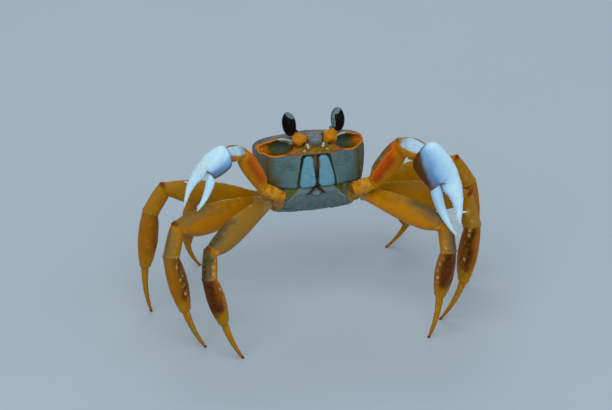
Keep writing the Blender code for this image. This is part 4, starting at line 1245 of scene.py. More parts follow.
def limb_segment(joints, index, planes, up, stations, **detail):
    """The form of one limb segment between two of its joints."""
    start, end = joints[index], joints[index + 1]
    axis = unit(end - start)
    up = unit(up - axis * (up @ axis))
    thick = np.cross(axis, up)
    first, last = planes
    gap = 0.05
    start = start + axis * gap / (axis @ first)
    if last is not None:
        end = end - axis * gap / (axis @ last)
    power, bow = detail.get("power", 2.2), detail.get("bow", 0.0)
    relief = detail.get("relief")

    def slide(points, centre, normal, keep):
        along = ((points - centre) @ normal) / (axis @ normal)
        return points - axis * (along * keep)[:, None]

    def form(share, angle, reach):
        above, below, half = along_curve(stations, share)
        centre = start + (end - start) * share[:, None] + up * (bow * 4 * share * (1 - share))[:, None]
        across, high = oval(angle, half, above, below, power)
        offset = thick * (across * reach)[:, None] + up * (high * reach)[:, None]
        if relief is not None:
            raised = relief(share, angle, centre + offset)
            offset += offset / (np.linalg.norm(offset, axis=1)[:, None] + 1e-6) * (raised * reach)[:, None]
        points = slide(centre + offset, centre, first, np.clip(1 - share / 0.3, 0, 1))
        if last is not None:
            points = slide(points, centre, last, np.clip(1 - (1 - share) / 0.3, 0, 1))
            points += axis * (0.12 * (1 - reach**2) * (share > 0.5))[:, None]
        return points - axis * (0.12 * (1 - reach**2) * (share < 0.5))[:, None]

    return form


def scaled(stations, above, below, thick):
    """The stations at a segment's own sizes."""
    return [(share, a * above, b * below, c * thick) for share, a, b, c in stations]


def joint_planes(first, joints):
    """The planes that the segments of a limb meet in."""
    ways = [unit(b - a) for a, b in zip(joints, joints[1:])]
    return [unit(first + ways[0])] + [unit(a + b) for a, b in zip(ways, ways[1:])] + [None]


def leg_joints(side, number):
    """A walking leg's joints, from its hip to its toe."""
    names = [f"{side}_leg_{number}_{part}" for part in LEG_PARTS]
    joints = limb_joints(near_points(names[0], "thorax"), names)
    tip = node_points(names[-1])
    tip = tip[tip[:, 2] < 0.05]
    return joints + [np.unique(np.round(tip, 2), axis=0).mean(axis=0)]


# How far the grey upper field, the brown of the propodus and the pale spots
# show on each leg, front to back, and how far outwards the brown lies
LEG_TONES = {
    "right": ((1.0, 0.95, 0.6, 0.85), (0.6, 0.75, 1.0, -0.05), (0.2, 0.4, 0.1, -0.5), (0.0, 0.2, 0.1, 0.0)),
    "left": ((0.8, 1.0, 0.6, 0.6), (0.3, 1.0, 0.5, 0.2), (0.15, 0.5, 0.2, 0.0), (0.0, 0.15, 0.1, 0.0)),
}


def ridge_teeth(share, count, sharp=3.0):
    """A row of small teeth along a ridge, 0 to 1."""
    return np.abs(np.sin(share * math.pi * count)) ** sharp


def merus_relief(share, angle, points):
    """Keels with fine teeth above and below, and short wrinkles between."""
    upper = stripe(angle, math.pi / 2, 0.16)
    lower = stripe(angle, -math.pi / 2, 0.2)
    flat = 1 - stripe(np.abs(angle), math.pi / 2, 0.35)
    wrinkle = cloud(points * np.array((1.0, 1.0, 0.45)), 0.9, 21)
    groove = stripe(np.sin(angle), 0.80, 0.07) * rise(share, 0.1, 0.3) * (1 - rise(share, 0.8, 0.95))
    ridge = stripe(np.sin(angle), 0.62, 0.05) * rise(share, 0.05, 0.2) * (1 - rise(share, 0.85, 0.95))
    teeth = ridge_teeth(share, 46)
    collar = stripe(share, 0.975, 0.012)
    height = upper * (0.16 + 0.16 * teeth) + lower * (0.08 + 0.10 * ridge_teeth(share, 34))
    height += 0.05 * wrinkle * flat - 0.12 * groove + 0.08 * ridge - 0.14 * stripe(share, 0.955, 0.012)
    return height + 0.12 * collar + 0.05 * grains(points, 0.6, 31) * rise(np.sin(angle), 0.0, 0.6)


def carpus_relief(share, angle, points):
    """Two keels along the outer side, and a swollen far end."""
    outer = stripe(angle, math.pi / 2 - 0.45, 0.13) + stripe(angle, math.pi / 2 + 0.45, 0.13)
    run = rise(share, 0.05, 0.25)
    height = 0.20 * outer * run * (0.75 + 0.25 * ridge_teeth(share, 12)) + 0.14 * stripe(share, 0.95, 0.03)
    height -= 0.12 * stripe(angle, math.pi / 2, 0.16) * run
    return height + 0.05 * cloud(points, 0.9, 7) + 0.05 * grains(points, 0.55, 4)


def propodus_relief(share, angle, points):
    """Ridges along the segment, rough on its edges."""
    ridges = 0.5 + 0.5 * np.cos(angle * 8.0 + math.pi)
    run = rise(share, 0.04, 0.2) * (1 - rise(share, 0.86, 0.97))
    edges = stripe(angle, math.pi / 2, 0.25) + stripe(angle, -math.pi / 2, 0.25)
    height = 0.15 * ridges**2 * run + 0.12 * edges * ridge_teeth(share, 22) * run
    height += 0.10 * stripe(share, 0.97, 0.02) - 0.08 * stripe(share, 0.02, 0.02)
    return height + 0.06 * cloud(points * np.array((1.0, 1.0, 0.5)), 1.0, 13) + 0.05 * grains(points, 0.6, 8)


def dactyl_relief(share, angle, points):
    """Flutes that run out towards the tip."""
    flutes = 0.5 + 0.5 * np.cos(angle * 6.0)
    run = rise(share, 0.03, 0.15) * (1 - rise(share, 0.8, 0.98))
    return 0.16 * flutes * run * (1 - 0.5 * share) + 0.03 * cloud(points, 0.7, 17)


RELIEFS = (merus_relief, carpus_relief, propodus_relief, dactyl_relief)


def leg_stations(number):
    """The sections of a walking leg's four segments."""
    index = number - 1
    deep, thick = PROPODUS_HALVES[index]
    half = DACTYL_HALF[index]
    dactyl = [(share, size * half, size * half, size * half * 0.95) for share, size in DACTYL_STATIONS]
    return (
        scaled(MERUS_STATIONS, *MERUS_HALVES[index]),
        scaled(CARPUS_STATIONS, deep, deep, thick),
        scaled(PROPODUS_STATIONS, deep, deep, thick),
        dactyl + [(1.0, TOE_HALF, TOE_HALF, TOE_HALF)],
    )


def paint_leg(obj, part, tones, front):
    """Fields of colour on a leg segment; front is +1 where angle 0 faces forward."""
    patch, brown, spots, lean = tones
    share, angle, _ = places(obj)
    upper, facing = np.sin(angle), np.cos(angle) * front
    wild = cloud(coordinates(obj.data), 2.4, 41)
    crest = stripe(angle, math.pi / 2, 0.13)
    grey, red, dark, pale, tip, glint, root, shade, bright = (np.zeros(len(share)) for _ in range(9))
    warm = 0.5 * rise(-upper, 0.1, 1.0) * rise(wild, -0.6, 0.8)
    if part == "merus":
        field = rise(share + 0.08 * wild, 0.30, 0.80)
        field = field * rise(upper + 0.8 * (share - 0.6) + 0.1 * wild, -0.05, 0.95)
        grey = np.maximum(patch * field, 0.35 * rise(patch, 0.85, 0.95)) * (1 - rise(share, 0.95, 0.99))
        shade = max(patch, 0.3) * crest * rise(share, 0.4, 0.65)
        spread = 0.75 * patch * field * rise(upper + 0.15 * wild, 0.45, 0.95)
        shade = np.maximum(shade, spread * rise(share, 0.4, 0.65))
        root = 1 - rise(share + 0.03 * wild, 0.05, 0.17)
        # bright is painted light: lighter amber on the lower, forward-facing side of the merus, where the
        # front legs catch more light
        bright = rise(patch, 0.2, 0.5) * (1 - rise(patch, 0.85, 0.95)) * rise(facing, -0.2, 0.5)
        bright = bright * (1 - rise(upper + 0.3 * wild, 0.0, 0.8)) * (1 - rise(share, 0.85, 0.97))
        red = rise(share, 0.965, 0.99) * rise(upper, 0.4, 0.9)
        warm = np.maximum(warm, rise(share, 0.94, 0.985) * rise(-upper, -0.3, 0.3))
        glint = patch * rise(share, 0.93, 0.97) * stripe(upper, -0.3, 0.35) * rise(facing, 0.1, 0.5)
        pale = 0.8 * crest * (1 - rise(share, 0.45, 0.65))
    elif part == "carpus":
        red = (1 - rise(share, 0.02, 0.09)) * rise(upper, 0.4, 0.9)
        grey = patch * rise(upper + 0.15 * wild, -0.1, 0.9) * rise(share, 0.02, 0.25)
        shade = patch * (0.6 * crest + 0.75 * patch * rise(upper + 0.6 * wild, -0.2, 1.1))
        pale = spots * stripe(upper, 0.15, 0.3) * rise(share, 0.15, 0.4)
        warm = np.maximum(warm, 0.8 * (1 - rise(upper, -0.5, 0.3)) * (1 - rise(share, 0.3, 0.8)))
    elif part == "propodus":
        core = (1 - rise(share + 0.06 * wild, 0.62, 0.9)) * rise(share + 0.05 * wild, -0.25, 0.05)
        dark = brown * core * stripe(upper + 0.25 * wild, lean, 0.6) * rise(facing, -0.7, 0.0)
        shade = 0.7 * rise(patch, 0.85, 0.95) * dark
        pale = spots * stripe(upper, -0.3 * lean, 0.22)
        pale = pale * (1 - rise(share, 0.55, 0.9)) * rise(facing, -0.2, 0.4)
        red = 0.75 * brown * core * stripe(upper - 0.2 * wild, lean - 0.3, 0.9)
        grey = 0.5 * patch * (1 - rise(share, 0.0, 0.3)) * rise(upper, -0.1, 0.9)
        warm = np.maximum(warm, 0.7 * core)
    else:
        tip = rise(share, 0.9, 1.0)
        dark = 0.35 * brown * (1 - rise(share, 0.0, 0.35)) * rise(upper, -0.3, 0.6)
        warm = np.maximum(warm, rise(share, 0.55, 0.95))
        pale = 0.5 * spots * stripe(upper, 0.1, 0.3) * rise(facing, 0.0, 0.5)
    paint(obj, grey=grey, red=red, dark=dark, pale=pale, tip=tip)
    paint(obj, warm=warm, glint=glint, root=root, shade=shade, bright=bright)


def build_leg(side, number):
    """The four segments of a walking leg."""
    sign = SIDES[side]
    joints = leg_joints(side, number)
    plane = unit(np.cross(joints[1] - joints[0], joints[3] - joints[1]))
    out = np.cross(plane, (0.0, 0.0, 1.0))
    out = unit(out * sign * np.sign(out[0]))
    heading = math.atan2(-out[1], sign * out[0]) / 2
    first = np.array([sign * math.cos(heading), -math.sin(heading), 0.0])
    planes = joint_planes(first, joints)
    above = np.cross(plane, out)
    above = above * np.sign(above[2])
    pieces = []
    stations = leg_stations(number)
    grids = ((88, 190), (72, 64), (80, 120), (56, 110))
    for index, part in enumerate(LEG_PARTS):
        up = above if part == "merus" else out
        detail = {
            "relief": RELIEFS[index],
            "power": (1.9, 2.2, 2.1, 2.0)[index],
            "bow": DACTYL_BOW if part == "dactyl" else 0.0,
        }
        name = f"{side}_leg_{number}_{part}"
        form = limb_segment(joints, index, planes[index : index + 2], up, stations[index], **detail)
        made = tube(name + "_shell", *grids[index], form, 0.035)
        axis = unit(joints[index + 1] - joints[index])
        upward = unit(up - axis * (up @ axis))
        front = -np.sign(np.cross(axis, upward)[1])
        paint_leg(made, part, LEG_TONES[side][number - 1], front)
        if part == "dactyl":
            flat_toe(made)
        pieces.append(made)
    return pieces, joints[:4]


def flat_toe(obj):
    """Keeps the toe's tip on the floor, as a small flat."""
    points = coordinates(obj.data)
    points[:, 2] = np.maximum(points[:, 2], 0.0)
    set_points(obj, points)


def joint_skin(name, joints, sizes):
    """Soft skins in the gaps between the segments of a limb, as one piece."""
    lumps = []
    for joint, size in zip(joints, sizes):
        place = Matrix.Translation(Vector(joint * MM))
        lumps.append(ellipsoid("skin", place, (size, size, size), 28, 18))
    skin = join(lumps, name)
    points = coordinates(skin.data)
    set_points(skin, points + normals(skin.data) * (0.12 * cloud(points, 0.8, 3))[:, None])
    return skin


def arm_joints(side):
    """A claw arm's joints, from its root to the claw's wrist."""
    names = [f"{side}_arm_{part}" for part in ARM_PARTS] + [f"{side}_claw_palm"]
    return limb_joints(arm_root(side), names)


def direction(sign, heading, upward):
    """A unit vector out from the body, from two angles in degrees."""
    heading, upward = math.radians(heading), math.radians(upward)
    out = np.array([sign * math.cos(heading), -math.sin(heading), 0.0])
    return out * math.cos(upward) + np.array([0.0, 0.0, math.sin(upward)])


def claw_axes(side):
    """Along the palm, in towards the body, and out of its broad face."""
    palm = PALMS[side]
    along = direction(SIDES[side], palm["heading"], palm["rise"])
    face = direction(1, 90.0, CLAW_FACE_RISE)
    face = unit(face - along * (face @ along))
    return along, np.cross(along, face) * SIDES[side], face


def arm_relief(part, side):
    """The forms on a claw arm's segment."""

    def relief(share, angle, points):
        front = angle if side == "left" else (math.tau - angle) % math.tau - math.pi
        beads = grains(points, 0.65, 23)
        height = 0.07 * beads + 0.05 * cloud(points, 1.4, 5)
        if part == "merus":
            edge = stripe(front, ARM_EDGE[side], 0.15)
            back = stripe(front, math.pi / 2 + 0.9, 0.14)
            height += 0.35 * edge * (0.7 + 0.3 * beads) + 0.15 * back * (0.5 + 0.5 * ridge_teeth(share, 26))
            height -= 0.15 * stripe(share, 0.95, 0.015)
        elif part == "carpus":
            height += 0.10 * beads * rise(np.sin(angle), 0.0, 0.7) - 0.12 * stripe(share, 0.94, 0.02)
        else:
            height += 0.12 * stripe(share, 0.5, 0.05) - 0.15 * stripe(share, 0.42, 0.03)
        return height

    return relief


def cone_row(name, roots, ways, lengths, radius):
    """Small blunt teeth, each from its root out."""
    bpy.ops.object.select_all(action="DESELECT")
    wide = radius * MM
    bpy.ops.mesh.primitive_cone_add(
        vertices=14, radius1=wide, radius2=0.25 * radius * MM, depth=wide
    )
    first = bpy.context.object
    apply_modifier(first, "BEVEL", width=0.2 * radius * MM, segments=2, limit_method="ANGLE")
    teeth = []
    for root, way, length in zip(roots, ways, lengths):
        tooth = bpy.data.objects.new(name, first.data.copy())
        bpy.context.scene.collection.objects.link(tooth)
        turn = Vector(way).to_track_quat("Z", "Y").to_matrix().to_4x4()
        size = Matrix.Diagonal((1.0, 1.0, 1.5 * length / radius, 1.0))
        place = Matrix.Translation(Vector((root + np.array(way) * length * 0.25) * MM))
        tooth.data.transform(place @ turn @ size)
        teeth.append(tooth)
    bpy.data.objects.remove(first)
    return join(teeth, name)


def arm_frame(side):
    """A claw arm's joints, the planes they lie in and the ways between them."""
    joints = arm_joints(side)
    along = claw_axes(side)[0]
    ways = [unit(b - a) for a, b in zip(joints, joints[1:])]
    planes = [ways[0]] + [unit(a + b) for a, b in zip(ways, ways[1:])] + [unit(ways[-1] + along)]
    return joints, planes, ways


def build_arm(side):
    """The three segments of a claw arm."""
    sign = SIDES[side]
    joints, planes, ways = arm_frame(side)
    face = direction(1, 90.0, CLAW_FACE_RISE)
    pieces = []
    for index, part in enumerate(ARM_PARTS):
        half, thick = ARM_HALVES[side][index]
        up = np.cross(face, ways[index]) * sign
        name = f"{side}_arm_{part}"
        stations = scaled(ARM_STATIONS[index], half, half, thick)
        detail = {"relief": arm_relief(part, side), "power": 2.2}
        form = limb_segment(joints, index, planes[index : index + 2], up, stations, **detail)
        made = tube(name + "_shell", 110, 130, form, 0.05)
        share, angle, _ = places(made)
        axis = ways[index]
        upward = unit(up - axis * (up @ axis))
        front = np.cos(angle) * -np.sign(np.cross(axis, upward)[1])
        upper = np.sin(angle)
        wild = cloud(coordinates(made.data), 1.8, 9)
        zeros = np.zeros(len(share))
        red, blue, dark, pale, edge = zeros, zeros, zeros, zeros, zeros
        face_on = rise(front, -0.1, 0.3)
        at_edge = math.sin(ARM_EDGE[side])
        # dark marks the back face of each merus, and on the left one also its top beyond the toothed edge;
        # the finish paints it dark olive broken by grey-green painted highlight
        if part == "merus" and side == "left":
            red = (1 - rise(upper, at_edge, at_edge + 0.1)) * rise(upper + 0.1 * wild, -0.75, 0.25) * face_on
            red = red * rise(share, 0.0, 0.15) * (1 - rise(share, 0.7, 0.98))
            dark = rise(upper, at_edge + 0.06, at_edge + 0.2) * rise(share, 0.15, 0.35)
            dark = np.maximum(dark, rise(-front, 0.0, 0.6) * rise(upper, 0.0, 0.6))
            edge = 0.7 * stripe(upper, at_edge - 0.1, 0.3) * face_on * rise(share, 0.05, 0.2)
            edge = np.maximum(edge, rise(share, 0.84, 0.95) * rise(upper, 0.1, 0.5) * face_on)
        elif part == "merus":
            red = 0.8 * stripe(upper, 0.15, 0.6) * face_on
            red = red * rise(share, 0.05, 0.3) * (1 - rise(share, 0.8, 1.0))
            dark = 0.7 * rise(-front, 0.1, 0.7)
            edge = 0.8 * rise(upper, 0.66, 0.9) * rise(front, -0.2, 0.2)
        elif part == "carpus":
            start = (0.0, 0.45) if side == "left" else (-0.1, 0.25)
            blue = rise(share + 0.12 * wild, *start) * rise(upper + 0.2 * front + 0.15 * wild, -0.45, 0.25)
            blue = blue * (1 - 0.8 * rise(upper, 0.75, 0.97))
            dark = rise(upper, 0.80, 0.97) * (1 - rise(share, 0.8, 1.0))
            dark = np.maximum(dark, 0.5 * (1 - rise(share, 0.1, 0.4)) * rise(upper, -0.1, 0.4))
        else:
            pale = 0.7 * stripe(share, 0.5, 0.10) + 0.6 * rise(wild, 0.2, 0.7)
            red = 0.35 * stripe(share, 0.25, 0.2) * rise(wild, -0.3, 0.5)
            freckle = cloud(coordinates(made.data), 1.1, 15)
            red = np.maximum(red, 0.85 * rise(freckle, 0.35, 0.7))
            pale = np.maximum(pale, 0.9 * rise(-freckle, 0.35, 0.7))
        paint(made, red=red, blue=blue, dark=dark, pale=pale, edge=edge)
        pieces.append(made)
    return pieces, joints, ways


def merus_teeth(side, joints, ways):
    """The bright serration along the claw arm's upper front edge."""
    face = direction(1, 90.0, CLAW_FACE_RISE)
    above = unit(np.cross(face, ways[1])) * SIDES[side]
    thick = unit(face - ways[1] * (face @ ways[1]))
    half, half_thick = ARM_HALVES[side][1]
    roots, lengths = [], []
    count = 14 if side == "left" else 12
    edge = ARM_EDGE[side]
    way = unit(above + thick * (0.9 if side == "left" else 0.4))
    for step in range(count):
        share = 0.16 + 0.72 * step / (count - 1)
        reach = float(along_curve(scaled(ARM_STATIONS[1], half, half, half_thick), np.array([share]))[0][0])
        root = joints[1] + (joints[2] - joints[1]) * share
        root = root + (above * reach * math.sin(edge) + thick * half_thick * math.cos(edge)) * 1.1
        roots.append(root)
        lengths.append((0.7 if side == "left" else 0.45) * (0.8 + 0.3 * math.sin(step * 2.4)))
    return cone_row(f"{side}_merus_teeth", roots, [way] * count, lengths, 0.5 if side == "left" else 0.32)


def carpus_spine(side, joints, ways):
    """The white spine on the inner corner of the claw arm's carpus."""
    face = direction(1, 90.0, CLAW_FACE_RISE)
    below = -unit(np.cross(face, ways[2])) * SIDES[side]
    half, thick = ARM_HALVES[side][2]
    root = joints[2] + (joints[3] - joints[2]) * 0.42 + below * half * 0.7 + face * thick * 0.4
    length, radius = (2.1, 0.7) if side == "left" else (1.7, 0.55)
    way = unit(below + face * 0.4)
    aside = unit(np.cross(way, ways[2]))
    second = [root + aside * 0.9, root - aside * 0.8]
    return cone_row(f"{side}_carpus_spine", [root] + second, [way] * 3, [length, 0.7, 0.6], radius)


def pollex_edge(side, at):
    """Share of the fixed finger at a point along the claw, and its outer edge."""
    palm = PALMS[side]
    tip_along, tip_in = FINGERS[side]["tip"]
    start = palm["length"] * POLLEX_START
    share = np.maximum((at - start) / (tip_along - start), 0.0)
    root_out = -palm["outer"] * GAPE_OUTER
    return share, root_out + (tip_in - root_out) * share**2


def palm_form(side, wrist, plane):
    """The swollen palm, flat against the arm at its wrist."""
    palm = PALMS[side]
    along, inward, face = claw_axes(side)

    def form(share, angle, reach):
        outer, inner, thick = along_curve(PALM_STATIONS, share)
        across, high = oval(angle, palm["thick"] * thick, palm["inner"] * inner, palm["outer"] * outer, 2.25)
        centre = wrist + along * (share * palm["length"])[:, None]
        points = centre + face * (across * reach)[:, None] + inward * (high * reach)[:, None]
        cut = wrist + plane * 0.12
        slide = ((points - cut) @ plane) / (along @ plane) * np.clip(1 - share / 0.4, 0, 1)
        bulge = 0.5 * (1 - reach**2) * (share > 0.5)
        return points - along * slide[:, None] + along * bulge[:, None]

    return form


def pollex_form(side, wrist):
    """The fixed finger, curved inwards to its hook."""
    palm = PALMS[side]
    along, inward, face = claw_axes(side)
    gape = palm["inner"] * GAPE_INNER + palm["outer"] * GAPE_OUTER
    start = palm["length"] * POLLEX_START

    def form(share, angle, reach):
        width, deep = along_curve(POLLEX_STATIONS, share)
        at = start + share * (FINGERS[side]["tip"][0] - start)
        half = np.maximum(gape * width, 0.5) / 2
        centre = wrist + along * at[:, None] + inward * (pollex_edge(side, at)[1] + half)[:, None]
        across, high = oval(angle, palm["thick"] * deep, half, half, 2.1)
        end = 0.35 * (1 - reach**2) * (share > 0.5)
        offset = face * (across * reach)[:, None] + inward * (high * reach)[:, None]
        return centre + offset + along * end[:, None]

    return form


def finger_form(side, wrist):
    """The moving finger, from its hinge to its curved tip."""
    palm, finger = PALMS[side], FINGERS[side]
    along, inward, face = claw_axes(side)
    hinge = wrist + along * (palm["length"] + 0.2) + inward * (palm["inner"] * 0.58)
    turn = math.radians(finger["turn"])
    reach_way = along * math.cos(turn) + inward * math.sin(turn)
    across_way = inward * math.cos(turn) - along * math.sin(turn)

    def form(share, angle, reach):
        width, deep = along_curve(FINGER_STATIONS, share)
        bow = 4 * share * (1 - share) * 0.06 * finger["dactyl"]
        centre = hinge + reach_way * (share * finger["dactyl"])[:, None] + across_way * bow[:, None]
        across, high = oval(angle, palm["thick"] * deep, palm["inner"] * width, palm["inner"] * width, 2.0)
        points = centre + (face * (across * reach)[:, None] + across_way * (high * reach)[:, None])
        slide = ((points - hinge) @ along) / (reach_way @ along) * np.clip(1 - share / 0.12, 0, 1)
        end = 0.3 * (1 - reach**2) * np.where(share > 0.5, 1.0, -0.8)
        return points + reach_way * (end - slide)[:, None]

    return form


def claw_place(side, wrist, points):
    """How far points lie along the claw, inwards, and out of its broad face."""
    along, inward, face = claw_axes(side)
    offset = points - wrist
    return offset @ along, offset @ inward, offset @ face


def build_palm(side, wrist, plane):
    """The palm with its fixed finger, granular on its outer edge."""
    palm = PALMS[side]
    made = tube(f"{side}_palm", 96, 72, palm_form(side, wrist, plane), 0.1)
    finger = tube("fixed_finger", 64, 90, pollex_form(side, wrist), 0.05)
    boolean(made, [finger], "UNION")
    remesh(made, 0.19 if side == "left" else 0.15)
    relax(made, 10)
    points = coordinates(made.data)
    at, inwards, out = claw_place(side, wrist, points)
    share, edge = pollex_edge(side, at)
    on_finger = rise(at, palm["length"] * 0.98, palm["length"] * 1.25)
    outer = rise(-(inwards - edge), -1.9, -0.4)
    inner = rise(inwards, palm["inner"] * 0.45, palm["inner"] * 0.95) * (1 - on_finger)
    beads = grains(points, 0.8 if side == "left" else 0.65, 14)
    fine = grains(points, 0.5, 19)
    across = inwards / palm["inner"]
    level = palm["length"] * np.interp(across, (-0.1, 0.55, 1.0), (1.10, 0.95, 0.975))
    seam = stripe(at, level, 0.26) * rise(across, -0.15, 0.05)
    seam = seam * (1 - rise(across, 0.95, 1.1)) * rise(out, -0.6, 0.2)
    groove = stripe(inwards - edge, 0.45 * palm["outer"], 0.3) * on_finger * (1 - rise(share, 0.75, 0.95))
    height = 0.20 * beads * outer + 0.07 * fine * (1 - on_finger) - 0.25 * seam - 0.14 * groove
    height += 0.06 * cloud(points, 2.2, 6) + 0.10 * beads * inner
    set_points(made, points + normals(made.data) * height[:, None])
    along_share = np.clip(at / palm["length"], 0.0, 1.0)
    outer_part, inner_part, _ = along_curve(PALM_STATIONS, along_share)
    span = palm["inner"] * inner_part + palm["outer"] * outer_part
    depth = (palm["inner"] * inner_part - inwards) / span + 0.03 * cloud(points, 2.0, 8)
    limit = 0.33 - 0.25 * along_share if side == "left" else 0.09
    brown = 1 - rise(depth, limit - 0.16, limit + 0.16)
    deep = stripe(depth, limit + 0.10, 0.13) * (0.35 + 0.65 * rise(along_share, 0.1, 0.8))
    speckle = stripe(at, palm["length"] * 1.2, palm["length"] * 0.22) * (side == "right")
    blue = 1 - rise(depth, limit + 0.08, 1.0 if side == "left" else 0.62)
    paint(
        made,
        brown=brown * (1 - on_finger),
        blue=blue * (1 - on_finger),
        deep=deep * (1 - on_finger),
        speckle=speckle,
        seam=seam,
        tip=rise(share, 0.78, 1.0),
        outer=outer,
        back=rise(-out, 0.0, palm["thick"] * 0.6),
    )
    return made


def build_finger(side, wrist):
    """The moving finger, ridged along its length."""
    made = tube(f"{side}_finger", 64, 120, finger_form(side, wrist), 0.05)
    share, angle, reach = places(made)
    points = coordinates(made.data)
    run = rise(share, 0.05, 0.2) * (1 - rise(share, 0.75, 0.95))
    ridges = stripe(angle, 0.5, 0.2) + stripe(angle, -0.5, 0.2) + stripe(np.abs(angle), 2.6, 0.2)
    height = 0.10 * ridges * run + 0.05 * grains(points, 0.5, 2) * (1 - rise(share, 0.4, 0.8))
    set_points(made, points + normals(made.data) * (height * reach)[:, None])
    zeros = np.zeros(len(share))
    paint(
        made,
        brown=zeros,
        blue=(0.45 if side == "left" else 0.15) * (1 - rise(share, 0.25, 0.8)),
        deep=zeros,
        speckle=zeros,
        seam=1 - rise(share, 0.0, 0.035),
        tip=rise(share, 0.72, 1.0),
        outer=zeros,
        back=rise(-np.cos(angle), 0.2, 0.8),
    )
    return made


def claw_teeth(side, wrist):
    """The knobs along the fixed finger, the serrated outer edge and the spike."""
    palm, finger = PALMS[side], FINGERS[side]
    along, inward, face = claw_axes(side)
    start = palm["length"] * POLLEX_START
    gape = palm["inner"] * GAPE_INNER + palm["outer"] * GAPE_OUTER
    big = side == "left"
    roots, ways, lengths = [], [], []

    def place(at, inwards, out):
        return wrist + along * at + inward * inwards + face * out

    count = 16 if big else 12
    for step in range(count):
        at = palm["length"] * (0.22 + 1.12 * step / (count - 1))
        edge = float(pollex_edge(side, at)[1])
        roots.append(place(at, edge + 0.12, 0.22 * (-1) ** step))
        ways.append(-inward + along * 0.25)
        lengths.append((0.42 if big else 0.3) * (0.8 + 0.3 * math.sin(step * 1.9)))
    count = 11 if big else 8
    for step in range(count):
        share = 0.26 + 0.62 * step / (count - 1)
        at = start + share * (finger["tip"][0] - start)
        edge = float(pollex_edge(side, at)[1])
        width = float(along_curve(POLLEX_STATIONS, np.array([share]))[0][0])
        inner = edge + max(gape * width, 0.5) - 0.12
        roots.append(place(at, inner, 0.0))
        ways.append(inward)
        lengths.append((0.5 if big else 0.32) * (0.7 + 0.4 * abs(math.sin(step * 1.3))))
    teeth = cone_row(f"{side}_claw_teeth", roots, [unit(way) for way in ways], lengths, 0.36 if big else 0.26)
    share, length, radius = (0.84, 2.0, 0.6) if big else (0.62, 1.8, 0.45)
    at = start + share * (finger["tip"][0] - start)
    edge = float(pollex_edge(side, at)[1])
    spike = cone_row("spike", [place(at, edge + 0.35, 0.0)], [unit(along * 0.5 - inward)], [length], radius)
    return join([teeth, spike], f"{side}_claw_teeth")


def leg_bristles(name, pieces, length):
    """Short bristles along the edges of a leg's last three segments."""
    draw = np.random.default_rng(len(name) + int(length * 10))
    roots, ways, patches = [], [], []
    for index, piece in enumerate(pieces[1:]):
        share, angle, _ = places(piece)
        points, out = coordinates(piece.data), normals(piece.data)
        edge = np.maximum(stripe(angle, math.pi / 2, 0.22), stripe(angle, -math.pi / 2, 0.3))
        chance = edge * rise(share, 0.1, 0.3) * (1 - rise(share, 0.75, 0.95))
        picked = np.flatnonzero((draw.random(len(share)) < chance * 0.07) & (points[:, 2] > 3.0))
        low, high = points[share < 0.2].mean(axis=0), points[share > 0.8].mean(axis=0)
        axis = unit(high - low)
        for at in picked:
            roots.append(points[at] - out[at] * 0.05)
            ways.append(unit(out[at] + 1.6 * axis))
            patches.append(((index + 0.05 + 0.9 * share[at]) / 3, 0.5 + 0.45 * angle[at] / math.pi))
    return hair(name, roots, ways, patches, length, 0.03, 5)


